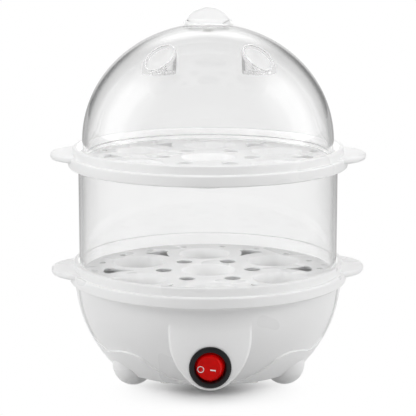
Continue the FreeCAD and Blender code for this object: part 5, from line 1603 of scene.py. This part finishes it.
# ------------------------------------------------------------------------------------------
# Rocker switch
# ------------------------------------------------------------------------------------------
@dataclass
class RockerSwitch:
    """The round switch: black bezel and barrel, red rocker, and its white O and dash."""

    bezel: float = 11.5 * MM
    proud: float = 2.0 * MM
    slope: float = 1.2 * MM
    aperture: float = 8.5 * MM
    barrel: float = 9.9 * MM
    barrel_length: float = 16.0 * MM
    rocker: float = 8.2 * MM
    face: float = 5.0 * MM
    back: float = 2.4 * MM
    pin: float = 1.2 * MM
    pin_reach: float = 9.1 * MM
    throw: float = math.radians(22)
    back_wall: float = 1.2 * MM
    play: float = 0.2 * MM
    print_height: float = 0.06 * MM
    print_sunk: float = 0.02 * MM
    ring: Pair = (1.42 * MM, 1.88 * MM)
    ring_slope: float = 0.04 * MM
    ring_place: Pair = (-4.3 * MM, -0.8 * MM)
    dash: Pair = (3.1 * MM, 0.72 * MM)
    dash_round: float = 0.2 * MM
    dash_place: Pair = (2.5 * MM, -1.0 * MM)
    dash_turn: float = math.radians(-4)
    rocker_sharp: float = math.radians(38)

    def __post_init__(self) -> None:
        """Takes the switch's place from its CAD nodes."""
        low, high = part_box("switch_body")
        self.front_y = low.y
        self.centre_z = (low.z + high.z) / 2
        self.pivot_y = low.y + self.face

    def body(self, finish: Finish) -> Shape:
        """The bezel, with its sloping ring, and the barrel behind the panel.

        Args:
            finish: Its material.

        Returns:
            The bezel and barrel.
        """
        seat, rear = -self.proud, -self.proud - self.barrel_length
        inner = rear + self.back_wall
        section = filleted([
            (self.aperture, inner), (self.aperture, -1.1 * MM, 0.3 * MM),
            (self.aperture + 0.35 * MM, 0.0, 0.3 * MM), (self.bezel - self.slope, 0.0, 0.5 * MM),
            (self.bezel, -0.9 * MM, 0.5 * MM), (self.bezel, seat, 0.2 * MM),
            (self.barrel, seat, 0.1 * MM), (self.barrel, rear, 0.4 * MM), (0.0, rear)])
        body = turned("body", [(0.0, inner)] + section, BODY)
        reach = self.pin_reach + 0.3 * MM
        seats = moved(disc("seats", self.pin + self.play, -reach, reach), (0, self.pivot_y, 0))
        body = combined(moved(body, (0, self.front_y, 0), FRONT), seats, Join.CUT)
        body = smoothed(moved(body, (0, 0, self.centre_z)), "switch_bezel")
        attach(dress(body, finish), "base")
        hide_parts("switch_body")
        return body

    def in_place(self, shape: Shape) -> Shape:
        """Brings a shape from the rocker's own place, front up, to where it rests."""
        facing_front(shape)
        return moved(shape, (0, self.pivot_y, self.centre_z), (0, 0, -self.throw / 2))

    def button(self, finish: Finish) -> Shape:
        """The rocker: a slice of a ball with a flat face rounded at its edge, on two pins.

        Args:
            finish: Its material.

        Returns:
            The rocker.
        """
        rim = math.sqrt(self.rocker ** 2 - self.face ** 2)
        rear = math.sqrt(self.rocker ** 2 - self.back ** 2)
        first, last = math.atan2(-self.back, rear), math.atan2(self.face, rim)
        side = [polar(self.rocker, angle) for angle in evenly(first, last - first, 20)]
        face = filleted([side[-3], (rim, self.face, 0.4 * MM), (0.0, self.face)])
        button = turned("button", [(0.0, -self.back)] + side[:-3] + face, FIN)
        pins = facing_front(disc("pins", self.pin, -self.pin_reach, self.pin_reach))
        button = self.in_place(combined(button, pins, Join.ADD))
        button = smoothed(button, "red_rocker", self.rocker_sharp)
        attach(dress(button, finish), "rocker")
        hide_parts("switch_rocker")
        return button

    def marks(self, finish: Finish) -> Shape:
        """The printed ring and dash on the rocker's face.

        Args:
            finish: Its material.

        Returns:
            The marks.
        """
        low, high = self.face - self.print_sunk, self.face + self.print_height
        inner, outer = self.ring
        ring = turned("ring_mark", [
            (inner, low), (outer, low), (outer - self.ring_slope, high),
            (inner + self.ring_slope, high), (inner, low)], SMALL)
        moved(ring, (*self.ring_place, 0))
        deselect()
        bpy.ops.mesh.primitive_cube_add(size=1.0)
        dash = bpy.context.active_object
        dash.scale = (*self.dash, high - low)
        settle(dash)
        with editing(dash):
            pick_edges(dash, lambda edge:
                       abs(edge.verts[0].co.z - edge.verts[1].co.z) > self.print_sunk)
            bpy.ops.mesh.bevel(offset=self.dash_round, segments=4)
        height = self.face + self.print_height / 2
        moved(dash, (*self.dash_place, height), (0, 0, self.dash_turn))
        marks = smoothed(self.in_place(joined([ring, dash])), "rocker_marks")
        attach(dress(marks, finish), "rocker")
        return marks


# ------------------------------------------------------------------------------------------
# Studio
# ------------------------------------------------------------------------------------------
@dataclass(frozen=True)
class Lamp:
    """A soft box aimed at the object: its place, width and height, and power in watts."""

    name: str
    place: Spot
    size: Pair
    power: float

    def build(self, aim: Spot) -> None:
        """Sets the lamp up, unseen itself, with its face to the aim.

        Args:
            aim: Where it points.
        """
        data = bpy.data.lights.new(self.name, "AREA")
        data.shape = "RECTANGLE"
        data.size, data.size_y = self.size
        data.energy = self.power
        lamp = bpy.data.objects.new(self.name, data)
        bpy.context.scene.collection.objects.link(lamp)
        lamp.location = self.place
        lamp.visible_camera = lamp.visible_glossy = lamp.visible_transmission = False
        way = Vector(aim) - Vector(self.place)
        lamp.rotation_euler = way.to_track_quat("-Z", "Y").to_euler()


@dataclass
class Studio:
    """Pale floor and surroundings, soft lamps, and the camera."""

    lens: float = 146.6
    clip: float = 0.01
    distance: float = 0.9774
    pitch: float = math.radians(10.5)
    azimuth: float = math.radians(-0.9)
    aim: Spot = (0.0, 0.0, 96.2 * MM)
    floor_size: float = 24.0
    lamps: tuple[Lamp, ...] = (
        Lamp("overhead", (0.0, -0.05, 1.5), (1.2, 1.2), 5.0),
        Lamp("left", (-1.15, -0.15, 0.45), (0.6, 0.8), 6.3),
        Lamp("right", (1.15, -0.15, 0.45), (0.6, 0.8), 6.3),
        Lamp("behind", (0.0, 1.15, 0.45), (1.2, 0.6), 6.0),
        Lamp("front", (0.0, -0.42, 0.5), (0.4, 0.3), 1.0))
    ambient: float = 0.3
    backdrop: Stops = ((-1.0, 0.4), (-0.5, 0.35), (0.1, 0.4), (0.5, 0.42), (0.8, 0.45), (0.88, 0.2),
                       (0.93, 0.12), (0.975, 0.9), (1.0, 1.0))
    side_boxes: Stops = ((-0.5, 0.0), (-0.2, 0.75), (0.0, 1.6), (0.2, 1.6), (0.5, 0.5),
                         (0.75, 0.0))
    side_gate: Stops = ((0.0, 0.0), (0.5, 0.0), (0.8, 1.0))
    top_box: Stops = ((0.0, 0.0), (0.55, 0.0), (0.65, 0.2), (0.78, 1.3), (1.0, 1.0))
    top_gate: Stops = ((0.0, 0.0), (0.2, 0.0), (0.4, 1.0))
    top_width: Stops = ((0.0, 1.0), (0.15, 1.0), (0.45, 0.0))
    inside: Stops = ((0.0, 2.0), (0.25, 1.5), (0.5, 0.4), (1.0, 0.1))
    inside_front: float = 2.7
    far_floor: Stops = ((0.0, 0.95), (0.12, 0.9), (0.3, 0.68), (0.6, 0.55), (1.0, 0.5))
    near: float = 0.0
    far: float = 0.045
    shadow_y: float = 0.045
    shadow_squeeze: float = 0.75
    bounce: float = 0.6

    def camera(self) -> None:
        """A long lens a metre away, looking down a little."""
        data = bpy.data.cameras.new("camera")
        data.lens = self.lens
        data.clip_start = self.clip
        camera = bpy.data.objects.new("camera", data)
        bpy.context.scene.collection.objects.link(camera)
        back = Vector((math.sin(self.azimuth) * math.cos(self.pitch),
                       -math.cos(self.azimuth) * math.cos(self.pitch), math.sin(self.pitch)))
        camera.location = Vector(self.aim) + back * self.distance
        camera.rotation_euler = (-back).to_track_quat("-Z", "Y").to_euler()
        bpy.context.scene.camera = camera

    def seen(self, graph: Graph) -> Socket:
        """1 for rays that show the background as such: camera, glossy and transmitted ones."""
        path = graph.node("LightPath").outputs
        either = graph.math("MAXIMUM", path["Is Camera Ray"], path["Is Glossy Ray"])
        return graph.math("MAXIMUM", either, path["Is Transmission Ray"])

    def floor(self) -> None:
        """A white floor that keeps the shadow and runs into the background further out."""
        deselect()
        bpy.ops.mesh.primitive_plane_add(size=self.floor_size)
        floor = bpy.context.active_object
        floor.name = "studio_floor"
        graph = Graph("studio_floor")
        squeezed = graph.out("Mapping", 0, {
            "Vector": graph.place, "Location": (0, self.shadow_y, 0),
            "Scale": (self.shadow_squeeze, 1, 1)})
        away = graph.out("MapRange", 0, {
            "Value": graph.measured("LENGTH", squeezed), "From Min": self.near,
            "From Max": self.far}, interpolation_type="SMOOTHSTEP")
        path = graph.node("LightPath").outputs
        tone = graph.blend(path["Is Diffuse Ray"], grey(1.0), grey(self.bounce))
        lit = graph.out("BsdfDiffuse", 0, {"Color": tone})
        back = graph.ramp(graph.out("SeparateXYZ", "Y", {0: graph.place}), self.far_floor)
        level = graph.mix(graph.any(path["Glossy Depth"]), 1.0, back)
        glow = graph.out("Emission", 0, {"Color": grey(1.0), "Strength": level})
        share = graph.times(away, self.seen(graph))
        mixed = graph.out("MixShader", 0, {0: share, 1: lit, 2: glow})
        floor.data.materials.append(graph.output(mixed))

    def world(self) -> None:
        """White surroundings to look at, with soft boxes for reflections, and dim as a light.

        Light that leaves a diffuse surface through clear plastic gets a level of its own, to
        make up for what the clear walls take away.
        """
        graph = Graph("studio", bpy.data.worlds)
        bpy.context.scene.world = graph.finish
        path = graph.node("LightPath").outputs
        way = graph.node("SeparateXYZ", {0: graph.out("TexCoord", "Generated")}).outputs
        across = graph.math("ABSOLUTE", way["X"])
        sides = graph.times(graph.ramp(way["Y"], self.side_boxes, -1.0),
                            graph.ramp(across, self.side_gate))
        top = graph.times(graph.ramp(way["Y"], self.top_box), graph.ramp(way["Z"], self.top_gate))
        top = graph.times(top, graph.ramp(across, self.top_width))
        boxes = graph.math("ADD", graph.math("ADD", sides, top),
                           graph.ramp(way["Y"], self.backdrop, -1.0))
        shown = graph.mix(graph.any(path["Glossy Depth"]), 1.0, boxes)
        level = graph.mix(self.seen(graph), self.ambient, shown)
        front = graph.math("MAXIMUM", graph.times(way["Y"], -self.inside_front), 0.0)
        through = graph.times(graph.ramp(way["Z"], self.inside), graph.math("ADD", front, 1.0))
        inward = graph.times(path["Is Transmission Ray"], graph.any(path["Diffuse Depth"]))
        level = graph.mix(inward, level, through)
        graph.output(graph.out("Background", 0, {"Color": grey(1.0), "Strength": level}),
                     "OutputWorld")

    def build(self) -> None:
        """Sets the studio up."""
        self.camera()
        self.floor()
        self.world()
        for lamp in self.lamps:
            lamp.build(self.aim)
        bpy.context.scene.view_settings.view_transform = "Standard"


def corners(box: tuple[Vector, Vector]) -> list[list[float]]:
    """A box's two corners as plain lists."""
    return [list(corner) for corner in box]


def dress_nodes(nodes: dict[str, Shape]) -> None:
    """Gives every CAD node that stays its finish.

    Args:
        nodes: The frame's CAD nodes by name.
    """
    for finish, names in NODE_FINISHES.items():
        material = finish.material()
        for name in names:
            for slot in nodes[name].material_slots:
                slot.material = material
        LOG.info("dressed in %s: %s", finish.name, ", ".join(names))


def main() -> None:
    """Builds and dresses the cooker, sub-assembly by sub-assembly."""
    logging.basicConfig(level=logging.INFO, format="%(name)s: %(message)s")
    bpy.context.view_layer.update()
    white, milky, clear = MOULDED_WHITE.material(), MILKY_WHITE.material(), CLEAR.material()

    base = SteamBase().build(white)
    switch = RockerSwitch()
    pieces = [base, switch.body(SATIN_BLACK.material()), switch.button(RED_LENS.material()),
              switch.marks(WHITE_PRINT.material())]
    pieces += EggTray().build(milky)
    lid = DomeLid()
    pieces += [SteamerRing().build(clear), lid.build(clear), lid.rims(PAINTED_HIGHLIGHT_RIM.material()),
               Grip(lid).build(GRIP_WHITE.material())]
    for piece in pieces:
        LOG.info("modelled %s: %d faces", piece.name, len(piece.data.polygons))
    dress_nodes(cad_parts)
    Studio().build()


if __name__ == "__main__":
    main()
